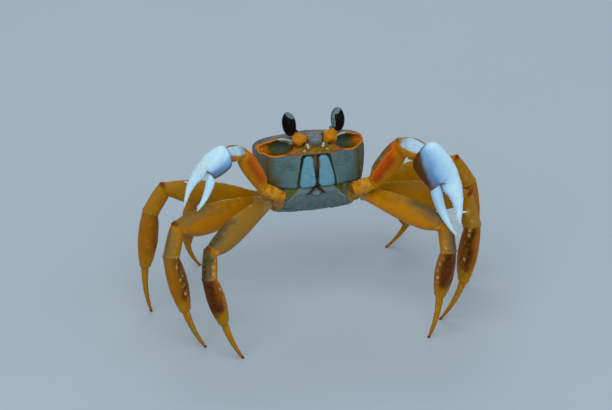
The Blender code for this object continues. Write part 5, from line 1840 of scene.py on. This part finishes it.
def shell_finish(look):
    """Grey plates, olive corners, bright orbit rims and dark bowls."""
    made = Finish("ghost crab shell", roughness=0.36, coat=0.02, subsurface=0.05)
    broad, fine = made.noise(3.2, 4.0), made.noise(0.55, 5.0, 0.65)
    veins = made.noise(1.3, 5.0, 0.6, vector=made.stretched((1.0, 1.0, 2.2)))
    base = made.mix(broad.step(0.3, 0.72), look.plate, tinted(look.plate, 1.4, (1.0, 1.06, 1.12)))
    base = made.mix(veins.step(0.45, 0.8) * 0.6, base, tinted(look.plate, 1.8, (1.1, 1.05, 1.0)))
    base = made.mix(fine.step(0.52, 0.75) * 0.5, base, tinted(look.plate, 0.5))
    base = made.mix(made.mask("low").step(0.1, 0.9) * 0.7, base, (0.095, 0.19, 0.215))
    base = made.mix((made.mask("olive") * (veins * 0.6 + 0.8)).clamped(), base, look.olive)
    base = made.mix(made.mask("stain") * fine.step(0.3, 0.7) * 0.8, base, (0.22, 0.07, 0.002))
    wall = made.mix(veins.step(0.3, 0.7), (0.070, 0.072, 0.040), (0.125, 0.13, 0.11))
    base = made.mix(made.mask("wall").step(0.2, 0.8), base, wall)
    patches = (made.mask("mottle") + (veins - 0.5) * 0.6).step(0.2, 0.85)
    crown = made.mix(patches, (0.055, 0.058, 0.034), (0.21, 0.19, 0.11))
    crown = made.mix(veins.step(0.4, 0.7) * 0.6, crown, (0.045, 0.055, 0.045))
    crown = made.mix(made.spots(0.9, 0.18) * 0.5, crown, (0.12, 0.08, 0.02))
    crown = made.mix(made.mask("front_crown") * 0.9, crown, (0.085, 0.125, 0.135))
    base = made.mix((made.mask("crown") + (veins - 0.5) * 0.5).step(0.2, 0.85), base, crown)
    snout = made.mix(veins.step(0.4, 0.6), (0.15, 0.105, 0.002), (0.36, 0.15, 0.002))
    snout = made.mix(fine.step(0.55, 0.75) * 0.6, snout, (0.42, 0.33, 0.08))
    base = made.mix((made.mask("epistome") * (fine * 0.6 + 0.75)).clamped(), base, snout)
    base = made.mix(made.mask("frame_line") * 0.35, base, (0.18, 0.25, 0.20))
    base = made.mix(made.mask("dark_line") * (fine * 0.5 + 0.6), base, (0.02, 0.022, 0.010))
    gullet = made.mix(veins.step(0.3, 0.7), (0.025, 0.014, 0.004), (0.11, 0.085, 0.04))
    base = made.mix(made.mask("gullet").step(0.2, 0.8), base, gullet)
    base = made.mix(made.mask("tongue") * 0.8, base, (0.30, 0.22, 0.13))
    snout = made.mix(veins.step(0.35, 0.65), (0.095, 0.115, 0.12), (0.22, 0.22, 0.21))
    snout = made.mix(made.mask("lobe_edge") * 0.6, snout, (0.16, 0.05, 0.012))
    base = made.mix(made.mask("lobe") * 0.85, base, snout)
    base = made.mix(made.mask("lobe_corner") * 0.7, base, (0.42, 0.42, 0.28))
    olive = made.mix(broad.step(0.35, 0.7), (0.065, 0.055, 0.002), (0.16, 0.10, 0.002))
    bowl = made.mix(veins.step(0.35, 0.7), (0.040, 0.075, 0.045), (0.085, 0.13, 0.08))
    inside = made.mix(made.mask("bowl").step(0.15, 0.85), olive, bowl)
    orange = made.mix(fine.step(0.3, 0.75), look.rim, tinted(look.rim, 0.75, (1.0, 0.85, 1.0)))
    corner = made.mix(veins.step(0.35, 0.65), tinted(look.rim, 0.32, (0.9, 0.9, 4.0)), tinted(look.rim, 0.75))
    inside = made.mix((made.mask("groove") + (veins - 0.5) * 0.3).step(0.1, 0.9), inside, corner)
    base = made.mix(made.mask("socket").step(0.25, 0.75), base, inside)
    base = made.mix((made.mask("rim") + (fine - 0.5) * 0.3).step(0.3, 0.7), base, orange)
    base = made.layer((0.52, 0.60, 0.54), "rim_pale", base, 0.8, 0.9, 0.9)
    base = made.layer((0.24, 0.035, 0.001), "rim_red", base, 0.6, 0.9, 0.85)
    base = made.mix(made.spots(0.45, 0.16, 0.1) * 0.15, base, (0.30, 0.36, 0.33))
    made.colour(base)
    made.roughness(fine * 0.2 + 0.3 + made.mask("bowl") * 0.15)
    made.bump((made.cells(0.45), 0.03), (veins, 0.06), (fine, 0.045), (made.noise(0.16, 2.0), 0.015))
    return made.material


def chest_finish():
    """Grey breast plates, and limb roots in cream, orange and green."""
    made = Finish("ghost crab chest", roughness=0.36, coat=0.04, subsurface=0.05)
    broad, fine = made.noise(2.2, 4.0), made.noise(0.45, 4.0, 0.65)
    base = made.mix(broad.step(0.3, 0.7), (0.075, 0.125, 0.13), (0.12, 0.18, 0.18))
    base = made.mix(fine.step(0.55, 0.8) * 0.5, base, (0.17, 0.20, 0.17))
    amber = made.mix(broad.step(0.3, 0.7), (0.36, 0.14, 0.002), (0.34, 0.19, 0.05))
    amber = made.mix(fine.step(0.5, 0.65) * 0.7, amber, (0.50, 0.36, 0.16))
    amber = made.mix(fine.step(0.25, 0.45) * -0.8 + 0.8, amber, (0.07, 0.028, 0.004))
    base = made.mix(made.mask("leg_base").step(0.3, 0.7), base, amber)
    green = made.mix(broad.step(0.3, 0.7), (0.062, 0.068, 0.006), (0.14, 0.125, 0.015))
    base = made.mix(made.mask("arm_base").step(0.3, 0.7), base, green)
    base = made.mix((made.mask("small") * (broad * 0.8 + 0.5)).clamped(), base, (0.17, 0.26, 0.27))
    base = made.layer((0.25, 0.30, 0.20), "rims", base, 0.7, 0.8, 0.55)
    base = made.mix((made.mask("fork") * (fine * 0.6 + 0.8)).clamped(), base, (0.050, 0.020, 0.003))
    base = made.mix(made.mask("dark_line") * 0.6, base, (0.025, 0.028, 0.018))
    made.colour(base)
    made.roughness(fine * 0.2 + 0.3)
    made.bump((made.cells(0.5), 0.03), (fine, 0.04))
    return made.material


def tail_finish():
    """The tail flap: pale grey rings with dark seams."""
    made = Finish("ghost crab tail", roughness=0.38, coat=0.04, subsurface=0.05)
    broad, fine = made.noise(1.8, 4.0), made.noise(0.4, 4.0, 0.65)
    base = made.mix(broad.step(0.3, 0.7), (0.08, 0.125, 0.13), (0.14, 0.19, 0.185))
    base = made.mix(fine.step(0.5, 0.8) * 0.5, base, (0.20, 0.21, 0.16))
    base = made.layer((0.05, 0.035, 0.02), "dark_line", base, 0.3, 0.5, 0.9)
    made.colour(base)
    made.roughness(fine * 0.2 + 0.32)
    made.bump((made.cells(0.45), 0.025), (fine, 0.035))
    return made.material


def mouth_finish(look):
    """The blue-white doors with their dark borders, and painted shade along their inner edges."""
    made = Finish("ghost crab mouth", roughness=0.34, coat=0.06, subsurface=0.08)
    broad, fine = made.noise(1.6, 4.0), made.noise(0.35, 4.0, 0.65)
    streaks = made.noise(0.9, 4.0, 0.6, vector=made.stretched((1.0, 1.0, 0.3)))
    base = made.mix(broad.step(0.3, 0.7), look.mouth, tinted(look.mouth, 1.35, (1.0, 0.95, 0.9)))
    base = made.mix(streaks.step(0.4, 0.75) * 0.5, base, tinted(look.mouth, 1.5, (1.15, 0.95, 0.9)))
    base = made.mix(fine.step(0.5, 0.8) * 0.35, base, tinted(look.mouth, 0.5))
    base = made.layer((0.025, 0.06, 0.048), "border", base, 0.5, 0.5, 0.85)
    # Painted shade in brown along each door's inner edge, by the gap between the doors
    base = made.layer((0.16, 0.085, 0.06), "inner", base, 0.7, 0.5, 0.8)
    made.colour(base)
    made.roughness(fine * 0.2 + 0.26)
    made.bump((made.cells(0.35), 0.025), (streaks, 0.05), (fine, 0.03))
    return made.material


def bristle_finish():
    """Dull brown bristles."""
    made = Finish("ghost crab bristles", roughness=0.6, specular=0.3)
    made.colour(made.mix(made.noise(0.8, 3.0).step(0.3, 0.7), (0.09, 0.045, 0.015), (0.22, 0.13, 0.05)))
    made.bump((made.noise(0.1, 2.0), 0.01))
    return made.material


def eye_finish(look):
    """The near-black cornea with its fine facets, and the stalk's grey cap."""
    made = Finish("ghost crab eye", roughness=0.32, specular=0.06)
    broad = made.noise(1.2, 3.0)
    base = made.mix(broad.step(0.35, 0.7), look.eye, tinted(look.eye, 1.6, (1.3, 0.8, 0.6)))
    base = made.mix(made.cells(0.11, "DISTANCE_TO_EDGE", 0.2).step(0.0, 0.12), tinted(look.eye, 0.5), base)
    base = made.mix(made.mask("low") * broad.step(0.3, 0.7) * 0.6, base, (0.05, 0.010, 0.001))
    cap = made.mix(broad.step(0.35, 0.65), (0.07, 0.13, 0.17), (0.20, 0.25, 0.26))
    base = made.mix((made.mask("cap") + (broad - 0.5) * 0.3).step(0.3, 0.7), base, cap)
    made.colour(base)
    made.roughness(broad * 0.15 + 0.24)
    made.bump((made.cells(0.11, "F1", 0.2), 0.0015))
    return made.material


def stalk_finish(look):
    """The orange stalk base and the grey-blue bulb that holds the eye."""
    made = Finish("ghost crab eyestalk", roughness=0.3, coat=0.02, subsurface=0.08)
    broad, fine = made.noise(1.2, 4.0), made.noise(0.35, 4.0, 0.65)
    base = made.mix(broad.step(0.3, 0.7), look.stalk, tinted(look.stalk, 0.75, (1.0, 0.85, 0.6)))
    base = made.mix(fine.step(0.55, 0.8) * 0.4, base, (0.66, 0.40, 0.04))
    base = made.layer((0.17, 0.085, 0.002), "low", base, 0.6, 0.8, 0.6)
    blue = made.mix(broad.step(0.3, 0.7), (0.055, 0.10, 0.125), (0.14, 0.20, 0.21))
    blue = made.mix(fine.step(0.55, 0.8) * 0.5, blue, (0.24, 0.29, 0.27))
    base = made.mix(made.mask("bulb").step(0.35, 0.65), base, blue)
    base = made.mix(made.mask("dusk") * 0.95, base, tinted(look.eye, 2.0))
    base = made.layer((0.03, 0.015, 0.003), "seam", base, 0.3, 0.4, 0.8)
    made.colour(base)
    made.roughness(fine * 0.18 + 0.24)
    made.bump((made.cells(0.35), 0.02), (fine, 0.03))
    return made.material


def feeler_finish():
    """Feelers that run from cream to olive brown."""
    made = Finish("ghost crab feeler", roughness=0.4)
    fine = made.noise(0.3, 4.0, 0.6)
    base = made.mix(fine.step(0.3, 0.7), (0.12, 0.085, 0.006), (0.28, 0.20, 0.02))
    base = made.layer((0.62, 0.55, 0.34), "pale", base, 0.4, 0.5)
    base = made.mix(made.mask("ring") * 0.5, base, (0.07, 0.05, 0.015))
    made.colour(base)
    made.bump((fine, 0.02))
    return made.material


def leg_finish(look):
    """Amber legs, with grey fields, red knees, dark marbling and pale spots."""
    made = Finish("ghost crab legs", roughness=0.36, coat=0.01, subsurface=0.06)
    broad, fine = made.noise(3.5, 4.0), made.noise(0.5, 5.0, 0.65)
    marble = made.noise(1.1, 5.0, 0.62, seed=3.0)
    base = made.mix(broad.step(0.32, 0.68), look.amber, tinted(look.amber, 0.72, (0.95, 1.3, 1.0)))
    base = made.mix(marble.step(0.45, 0.75) * 0.4, base, tinted(look.amber, 1.3, (1.0, 1.1, 2.0)))
    base = made.mix(fine.step(0.52, 0.8) * 0.35, base, tinted(look.amber, 0.6, (1.0, 0.85, 1.0)))
    # Painted light: lighter amber where the front of a merus catches more light
    base = made.mix(made.mask("bright") * 0.85, base, tinted(look.amber, 1.3, (1.0, 0.95, 1.0)))
    warm = made.mask("warm") * marble.step(0.2, 0.7) * 0.8
    base = made.mix(warm, base, tinted(look.amber, 0.66, (1.1, 0.55, 1.0)))
    grey = made.mix(broad.step(0.35, 0.66), look.leg_grey, tinted(look.leg_grey, 1.5, (1.3, 1.05, 0.75)))
    grey = made.mix(marble.step(0.5, 0.8) * 0.4, grey, tinted(look.leg_grey, 0.45, (1.0, 0.85, 0.5)))
    base = made.mix((made.mask("grey") * (marble * 0.6 + 0.55)).clamped(), base, grey)
    dusk = made.mix(marble.step(0.38, 0.6), (0.022, 0.019, 0.007), (0.115, 0.085, 0.022))
    base = made.mix((made.mask("shade") * (marble + 0.5)).step(0.15, 0.95), base, dusk)
    base = made.mix((made.mask("red") * (marble * 0.8 + 0.6)).clamped(), base, look.knee)
    brown = made.mix(marble.step(0.35, 0.62), (0.030, 0.011, 0.001), (0.125, 0.030, 0.001))
    base = made.mix((made.mask("dark") * (marble + 0.5)).step(0.15, 0.95), base, brown)
    base = made.mix(made.spots(2.3, 0.26) * (made.mask("pale") * 1.5).clamped(), base, (0.56, 0.40, 0.16))
    base = made.mix(made.mask("pale") * marble.step(0.4, 0.7) * 0.7, base, (0.50, 0.32, 0.07))
    hip = made.mix(fine.step(0.38, 0.54), (0.15, 0.05, 0.004), (0.54, 0.38, 0.16))
    base = made.mix(made.mask("root") * marble.step(0.3, 0.6) * 0.9, base, hip)
    base = made.mix((made.mask("glint") * (marble * 0.8 + 0.5)).clamped(), base, (0.80, 0.30, 0.03))
    base = made.layer((0.09, 0.018, 0.001), "tip", base, 0.3, 0.8)
    made.colour(base)
    made.roughness(fine * 0.22 + 0.28)
    made.bump((made.cells(0.45), 0.03), (fine, 0.05), (made.noise(0.15, 2.0), 0.012))
    return made.material


def joint_finish():
    """The leathery skins between segments."""
    made = Finish("ghost crab joints", roughness=0.5, subsurface=0.08)
    fine = made.noise(0.5, 4.0, 0.6)
    base = made.mix(fine.step(0.3, 0.7), (0.12, 0.022, 0.001), (0.30, 0.12, 0.010))
    made.colour(base)
    made.roughness(fine * 0.2 + 0.4)
    made.bump((made.noise(0.3, 3.0), 0.05))
    return made.material


def arm_finish(look):
    """Orange arms that turn red along their granulated front edge."""
    made = Finish("ghost crab arms", roughness=0.36, coat=0.01, subsurface=0.06)
    broad, fine = made.noise(2.4, 4.0), made.noise(0.4, 5.0, 0.65)
    base = made.mix(broad.step(0.3, 0.7), look.arm, tinted(look.arm, 1.05, (1.0, 1.3, 1.2)))
    base = made.mix(fine.step(0.5, 0.78) * 0.35, base, tinted(look.arm, 0.6, (1.0, 0.8, 1.0)))
    base = made.mix((made.mask("red") * (broad * 0.6 + 0.7)).clamped(), base, look.arm_red)
    # Dark olive where the dark mask lies, broken by grey-green patches that are a painted highlight, standing
    # in for the sheen on the merus's upper face
    shade = made.mix(broad.step(0.4, 0.65), (0.085, 0.065, 0.014), (0.16, 0.175, 0.12))
    base = made.mix((made.mask("dark") * (broad * 0.6 + 0.6)).clamped(), base, shade)
    base = made.mix((made.mask("edge") * (fine * 0.8 + 0.5)).clamped(), base, (0.66, 0.10, 0.001))
    base = made.mix((made.mask("pale") * (fine * 1.2 + 0.2)).clamped() * 0.7, base, (0.62, 0.38, 0.06))
    base = made.mix(made.spots(0.7, 0.18) * 0.25, base, (0.66, 0.30, 0.01))
    made.colour(base)
    made.roughness(fine * 0.2 + 0.28)
    made.bump((made.cells(0.5), 0.045), (fine, 0.045))
    return made.material


def wrist_finish(look):
    """The wrist of the claw arm: blue-white above, orange below."""
    made = Finish("ghost crab wrists", roughness=0.3, coat=0.08, subsurface=0.08)
    broad, fine = made.noise(2.0, 4.0), made.noise(0.4, 5.0, 0.65)
    base = made.mix(broad.step(0.3, 0.7), tinted(look.arm, 0.8), tinted(look.arm, 0.9, (1.0, 1.3, 1.2)))
    low, high = tinted(look.claw, 0.62, (0.95, 0.9, 0.95)), tinted(look.claw, 0.9, (1.0, 0.95, 0.95))
    white = made.mix(broad.step(0.3, 0.7), low, high)
    white = made.mix(fine.step(0.55, 0.8) * 0.3, white, (0.40, 0.38, 0.34))
    base = made.mix((made.mask("blue") + (fine - 0.5) * 0.3).step(0.2, 0.8), base, white)
    base = made.mix((made.mask("dark") * (broad + 0.6)).clamped(), base, (0.15, 0.052, 0.004))
    made.colour(base)
    made.roughness(fine * 0.2 + 0.24)
    made.bump((made.cells(0.5), 0.05), (fine, 0.04))
    return made.material


def claw_finish(look):
    """White claws that turn blue and then brown towards the inner edge."""
    made = Finish("ghost crab claws", roughness=0.27, coat=0.1, subsurface=0.10)
    broad, fine = made.noise(2.4, 4.0), made.noise(0.35, 5.0, 0.65)
    base = made.mix(broad.step(0.3, 0.7), look.claw, tinted(look.claw, 0.9, (1.0, 0.98, 0.95)))
    base = made.mix(made.mask("blue") * 0.9, base, look.claw_blue)
    base = made.mix(made.mask("deep") * 0.85, base, tinted(look.claw_blue, 0.5, (1.1, 0.85, 0.9)))
    base = made.mix(fine.step(0.56, 0.8) * 0.25, base, (0.56, 0.60, 0.60))
    base = made.mix(made.mask("outer").step(0.1, 0.7) * made.spots(0.5, 0.25) * 0.5, base, (0.84, 0.90, 0.94))
    base = made.mix((made.mask("brown") + (fine - 0.5) * 0.15).step(0.05, 0.95), base, (0.085, 0.030, 0.002))
    base = made.mix(made.mask("speckle") * made.spots(0.75, 0.3, 0.15) * 0.7, base, (0.52, 0.30, 0.11))
    base = made.layer((0.30, 0.11, 0.008), "seam", base, 0.3, 0.5, 0.9)
    base = made.layer((0.62, 0.60, 0.52), "tip", base, 0.5, 1.0, 0.5)
    base = made.mix(made.mask("back").step(0.3, 0.9) * 0.4, base, (0.60, 0.60, 0.52))
    made.colour(base)
    made.roughness(fine * 0.22 + 0.2)
    made.bump((made.cells(0.55), 0.035), (fine, 0.04), (made.noise(0.16, 2.0), 0.010))
    return made.material


def tooth_finish(name, dark, light):
    """Small teeth, mottled between two colours."""
    made = Finish(name, roughness=0.3, coat=0.1, subsurface=0.05)
    fine = made.noise(0.4, 4.0, 0.6)
    made.colour(made.mix(fine.step(0.3, 0.7), dark, light))
    made.roughness(fine * 0.2 + 0.24)
    made.bump((made.noise(0.2, 3.0), 0.02))
    return made.material


def floor_finish(look):
    """A plain pale studio floor."""
    made = Finish("studio floor", roughness=0.75, specular=0.2)
    soft = made.noise(60.0, 2.0, 0.5)
    made.colour(made.mix(soft.step(0.2, 0.8), look.floor, tinted(look.floor, 0.985)))
    return made.material


def tinted(colour, strength, lean=(1.0, 1.0, 1.0)):
    """The colour made lighter or darker, and leaned towards another."""
    return tuple(min(part * strength * turn, 1.0) for part, turn in zip(colour, lean))


def colour_setting(name, description, default):
    """A colour that a user can change."""
    return bpy.props.FloatVectorProperty(
        name=name, description=description, subtype="COLOR", size=3, min=0.0, max=1.0, default=default
    )


class GhostCrabColours(bpy.types.PropertyGroup):
    plate: colour_setting("Face plates", "The grey-blue plates of the face", (0.072, 0.13, 0.13))
    olive: colour_setting("Cheeks", "The olive lower corners of the face", (0.115, 0.078, 0.001))
    rim: colour_setting("Orbit rims", "The bright edges of the eye sockets", (0.74, 0.22, 0.001))
    mouth: colour_setting("Mouth doors", "The blue-white doors of the mouth", (0.1, 0.26, 0.345))
    stalk: colour_setting("Stalk bases", "The orange bases of the eyestalks", (0.6, 0.235, 0.001))
    eye: colour_setting("Eyes", "The near-black corneas", (0.003, 0.0015, 0.0015))
    amber: colour_setting("Legs", "The amber of the walking legs", (0.47, 0.185, 0.001))
    leg_grey: colour_setting("Leg fields", "The grey fields on the fanned legs", (0.095, 0.09, 0.055))
    knee: colour_setting("Knees", "The red of the knees", (0.16, 0.026, 0.001))
    arm: colour_setting("Arms", "The orange of the claw arms", (0.5, 0.175, 0.001))
    arm_red: colour_setting("Arm edges", "The bright red edges of the arms", (0.3, 0.026, 0.001))
    claw: colour_setting("Claws", "The white of the claws", (0.54, 0.82, 0.98))
    claw_blue: colour_setting("Claw shade", "The blue of the inner palms", (0.15, 0.39, 0.7))
    floor: colour_setting("Floor", "The studio floor", (0.415, 0.505, 0.575))


class GhostCrabSizes(bpy.types.PropertyGroup):
    leg_bristle: bpy.props.FloatProperty(
        name="Leg bristles",
        description="Length of the bristles along the legs",
        default=0.8 * MM,
        min=0.0,
        unit="LENGTH",
    )
    floor: bpy.props.FloatProperty(
        name="Floor", description="Width of the studio floor", default=6.0, min=0.5, unit="LENGTH"
    )
    light: bpy.props.FloatProperty(
        name="Key light", description="Power of the large soft light", default=9.0, min=0.0, unit="POWER"
    )


def looks():
    """The colours as a user left them."""
    settings = bpy.context.scene.ghost_crab_colours
    return LookBook({name: tuple(getattr(settings, name)) for name in GhostCrabColours.__annotations__})


class LookBook:
    """The chosen colours by name."""

    def __init__(self, colours):
        for name, colour in colours.items():
            setattr(self, name, colour)


class GHOSTCRAB_OT_shell(bpy.types.Operator):
    """Build the shell with its orbits, rostrum and mouth frame"""

    bl_idname = "ghostcrab.shell"
    bl_label = "Shell"

    def execute(self, context):
        settle(build_shell(), shell_finish(looks()), "shell", "carapace")
        return {"FINISHED"}


class GHOSTCRAB_OT_underside(bpy.types.Operator):
    """Build the chest plates and the folded tail"""

    bl_idname = "ghostcrab.underside"
    bl_label = "Chest and tail"

    def execute(self, context):
        settle(build_chest(), chest_finish(), "chest", "thorax")
        settle(build_tail(), tail_finish(), "chest", "abdomen")
        return {"FINISHED"}


class GHOSTCRAB_OT_mouth(bpy.types.Operator):
    """Build the mouth doors, their fringe and the feelers"""

    bl_idname = "ghostcrab.mouth"
    bl_label = "Mouth and feelers"

    def execute(self, context):
        finish, feelers = mouth_finish(looks()), feeler_finish()
        for name, door in zip(SIDES, build_mouth()):
            settle(door, finish, "mouth_plate", f"{name}_maxilliped")
            settle(build_antenna(name, SIDES[name]), feelers, "stalk", f"{name}_antenna")
        settle(build_mouth_hair(), bristle_finish(), "leg_brown")
        return {"FINISHED"}


class GHOSTCRAB_OT_eyes(bpy.types.Operator):
    """Build the corneas and the eyestalks"""

    bl_idname = "ghostcrab.eyes"
    bl_label = "Eyes"

    def execute(self, context):
        black, orange = eye_finish(looks()), stalk_finish(looks())
        for name, sign in SIDES.items():
            settle(build_eye(name, sign), black, "eye", f"{name}_eye")
            settle(build_stalk(name, sign), orange, "stalk", f"{name}_eyestalk")
        return {"FINISHED"}


class GHOSTCRAB_OT_legs(bpy.types.Operator):
    """Build the eight walking legs with their joint skins and bristles"""

    bl_idname = "ghostcrab.legs"
    bl_label = "Walking legs"

    def execute(self, context):
        finish, skins, bristles = leg_finish(looks()), joint_finish(), bristle_finish()
        length = context.scene.ghost_crab_sizes.leg_bristle / MM
        for side in SIDES:
            for number in range(1, 5):
                pieces, joints = build_leg(side, number)
                for part, piece in zip(LEG_PARTS, pieces):
                    slot = "leg_brown" if part == "propodus" else "leg_amber"
                    settle(piece, finish, slot, f"{side}_leg_{number}_{part}")
                thick = PROPODUS_HALVES[number - 1][1]
                hip = MERUS_HALVES[number - 1][2] * 0.7
                sizes = (hip, thick * 0.6, thick * 0.72, DACTYL_HALF[number - 1] * 0.75)
                skin = joint_skin(f"{side}_leg_{number}_skins", joints, sizes)
                settle(skin, skins, "leg_amber")
                settle(leg_bristles(f"{side}_leg_{number}_bristles", pieces, length), bristles, "leg_brown")
        return {"FINISHED"}


class GHOSTCRAB_OT_arms(bpy.types.Operator):
    """Build both claw arms with their teeth and spines"""

    bl_idname = "ghostcrab.arms"
    bl_label = "Claw arms"

    def execute(self, context):
        orange, white, skins = arm_finish(looks()), wrist_finish(looks()), joint_finish()
        red = tooth_finish("ghost crab red teeth", (0.55, 0.055, 0.001), (0.80, 0.22, 0.004))
        pale = tooth_finish("ghost crab white spines", (0.62, 0.58, 0.45), (0.80, 0.80, 0.74))
        for side in SIDES:
            pieces, joints, ways = build_arm(side)
            for part, piece in zip(ARM_PARTS, pieces):
                finish, slot = (white, "claw_white") if part == "carpus" else (orange, "arm_orange")
                settle(piece, finish, slot, f"{side}_arm_{part}")
            settle(merus_teeth(side, joints, ways), red, "arm_orange")
            settle(carpus_spine(side, joints, ways), pale, "claw_white")
            sizes = [ARM_HALVES[side][index][1] * 0.62 for index in (0, 0, 1, 2)]
            settle(joint_skin(f"{side}_arm_skins", joints, sizes), skins, "arm_orange")
        return {"FINISHED"}


class GHOSTCRAB_OT_claws(bpy.types.Operator):
    """Build both claws with their teeth"""

    bl_idname = "ghostcrab.claws"
    bl_label = "Claws"

    def execute(self, context):
        finish = claw_finish(looks())
        pale = tooth_finish("ghost crab claw teeth", (0.55, 0.62, 0.62), (0.78, 0.82, 0.84))
        for side in SIDES:
            joints, planes, _ = arm_frame(side)
            settle(build_palm(side, joints[-1], planes[-1]), finish, "claw_white", f"{side}_claw_palm")
            settle(build_finger(side, joints[-1]), finish, "claw_white", f"{side}_claw_dactyl")
            settle(claw_teeth(side, joints[-1]), pale, "claw_white")
        return {"FINISHED"}


class GHOSTCRAB_OT_stage(bpy.types.Operator):
    """Set the pale floor, the soft lights and the camera"""

    bl_idname = "ghostcrab.stage"
    bl_label = "Studio"

    def execute(self, context):
        sizes = context.scene.ghost_crab_sizes
        middle = Vector(to_world(np.zeros(3))) * MM
        bpy.ops.object.select_all(action="DESELECT")
        bpy.ops.mesh.primitive_plane_add(size=1.0)
        floor = context.object
        floor.name = "studio_floor"
        bpy.ops.object.mode_set(mode="EDIT")
        bpy.ops.mesh.select_all(action="SELECT")
        bpy.ops.transform.resize(value=(sizes.floor,) * 3)
        bpy.ops.object.mode_set(mode="OBJECT")
        floor.data.materials.append(floor_finish(looks()))
        rows = (
            ("key", (-0.35, -0.75, 0.95), 1.2, 1.05, (1.0, 0.99, 0.97)),
            ("fill", (0.9, -0.8, 0.45), 1.4, 0.45, (0.93, 0.96, 1.0)),
            ("back", (0.1, 0.9, 0.8), 1.0, 0.45, (1.0, 1.0, 1.0)),
        )
        for name, away, size, power, colour in rows:
            place = middle + Vector(away)
            bpy.ops.object.light_add(type="AREA", location=place)
            light = context.object
            light.name = name
            light.rotation_euler = (middle - place).to_track_quat("-Z", "Y").to_euler()
            light.data.size = size
            light.data.energy = sizes.light * power
            light.data.color = colour
        world = bpy.data.worlds.new("studio")
        world.use_nodes = True
        world.node_tree.nodes["Background"].inputs[0].default_value = (0.78, 0.84, 0.90, 1.0)
        world.node_tree.nodes["Background"].inputs[1].default_value = 0.42
        context.scene.world = world
        context.scene.view_settings.view_transform = "Standard"
        down, yaw = math.radians(CAMERA_DOWN), math.radians(CAMERA_YAW)
        way = Vector((math.sin(yaw) * math.cos(down), math.cos(yaw) * math.cos(down), -math.sin(down)))
        aim = middle + Vector(CAMERA_AIM) * MM
        bpy.ops.object.camera_add(location=aim - way * CAMERA_AWAY * MM)
        camera = context.object
        camera.rotation_euler = way.to_track_quat("-Z", "Y").to_euler()
        camera.data.sensor_width = SENSOR_WIDTH
        camera.data.lens = SENSOR_WIDTH * CAMERA_AWAY / VIEW_WIDTH
        camera.data.clip_end = 20.0
        context.scene.camera = camera
        return {"FINISHED"}


STEPS = (
    GHOSTCRAB_OT_stage,
    GHOSTCRAB_OT_shell,
    GHOSTCRAB_OT_underside,
    GHOSTCRAB_OT_mouth,
    GHOSTCRAB_OT_eyes,
    GHOSTCRAB_OT_legs,
    GHOSTCRAB_OT_arms,
    GHOSTCRAB_OT_claws,
)


class GHOSTCRAB_PT_panel(bpy.types.Panel):
    """Sizes, colours and steps of the ghost crab"""

    bl_idname = "GHOSTCRAB_PT_panel"
    bl_label = "Ghost crab"
    bl_space_type = "VIEW_3D"
    bl_region_type = "UI"
    bl_category = "Ghost crab"

    def draw(self, context):
        groups = ((GhostCrabSizes, "ghost_crab_sizes"), (GhostCrabColours, "ghost_crab_colours"))
        for group, settings in groups:
            box = self.layout.box()
            for name in group.__annotations__:
                box.prop(getattr(context.scene, settings), name)
        for step in STEPS:
            self.layout.operator(step.bl_idname)


def register():
    """Adds the settings, the operators and the panel."""
    for kind in (GhostCrabColours, GhostCrabSizes, *STEPS, GHOSTCRAB_PT_panel):
        bpy.utils.register_class(kind)
    bpy.types.Scene.ghost_crab_colours = bpy.props.PointerProperty(type=GhostCrabColours)
    bpy.types.Scene.ghost_crab_sizes = bpy.props.PointerProperty(type=GhostCrabSizes)


def unregister():
    """Takes them away again."""
    del bpy.types.Scene.ghost_crab_sizes
    del bpy.types.Scene.ghost_crab_colours
    for kind in (GHOSTCRAB_PT_panel, *reversed(STEPS), GhostCrabSizes, GhostCrabColours):
        bpy.utils.unregister_class(kind)


def main():
    register()
    for step in (
        bpy.ops.ghostcrab.stage,
        bpy.ops.ghostcrab.shell,
        bpy.ops.ghostcrab.underside,
        bpy.ops.ghostcrab.mouth,
        bpy.ops.ghostcrab.eyes,
        bpy.ops.ghostcrab.legs,
        bpy.ops.ghostcrab.arms,
        bpy.ops.ghostcrab.claws,
    ):
        if step() != {"FINISHED"}:
            raise RuntimeError(f"{step} did not finish")


if __name__ == "__main__":
    main()
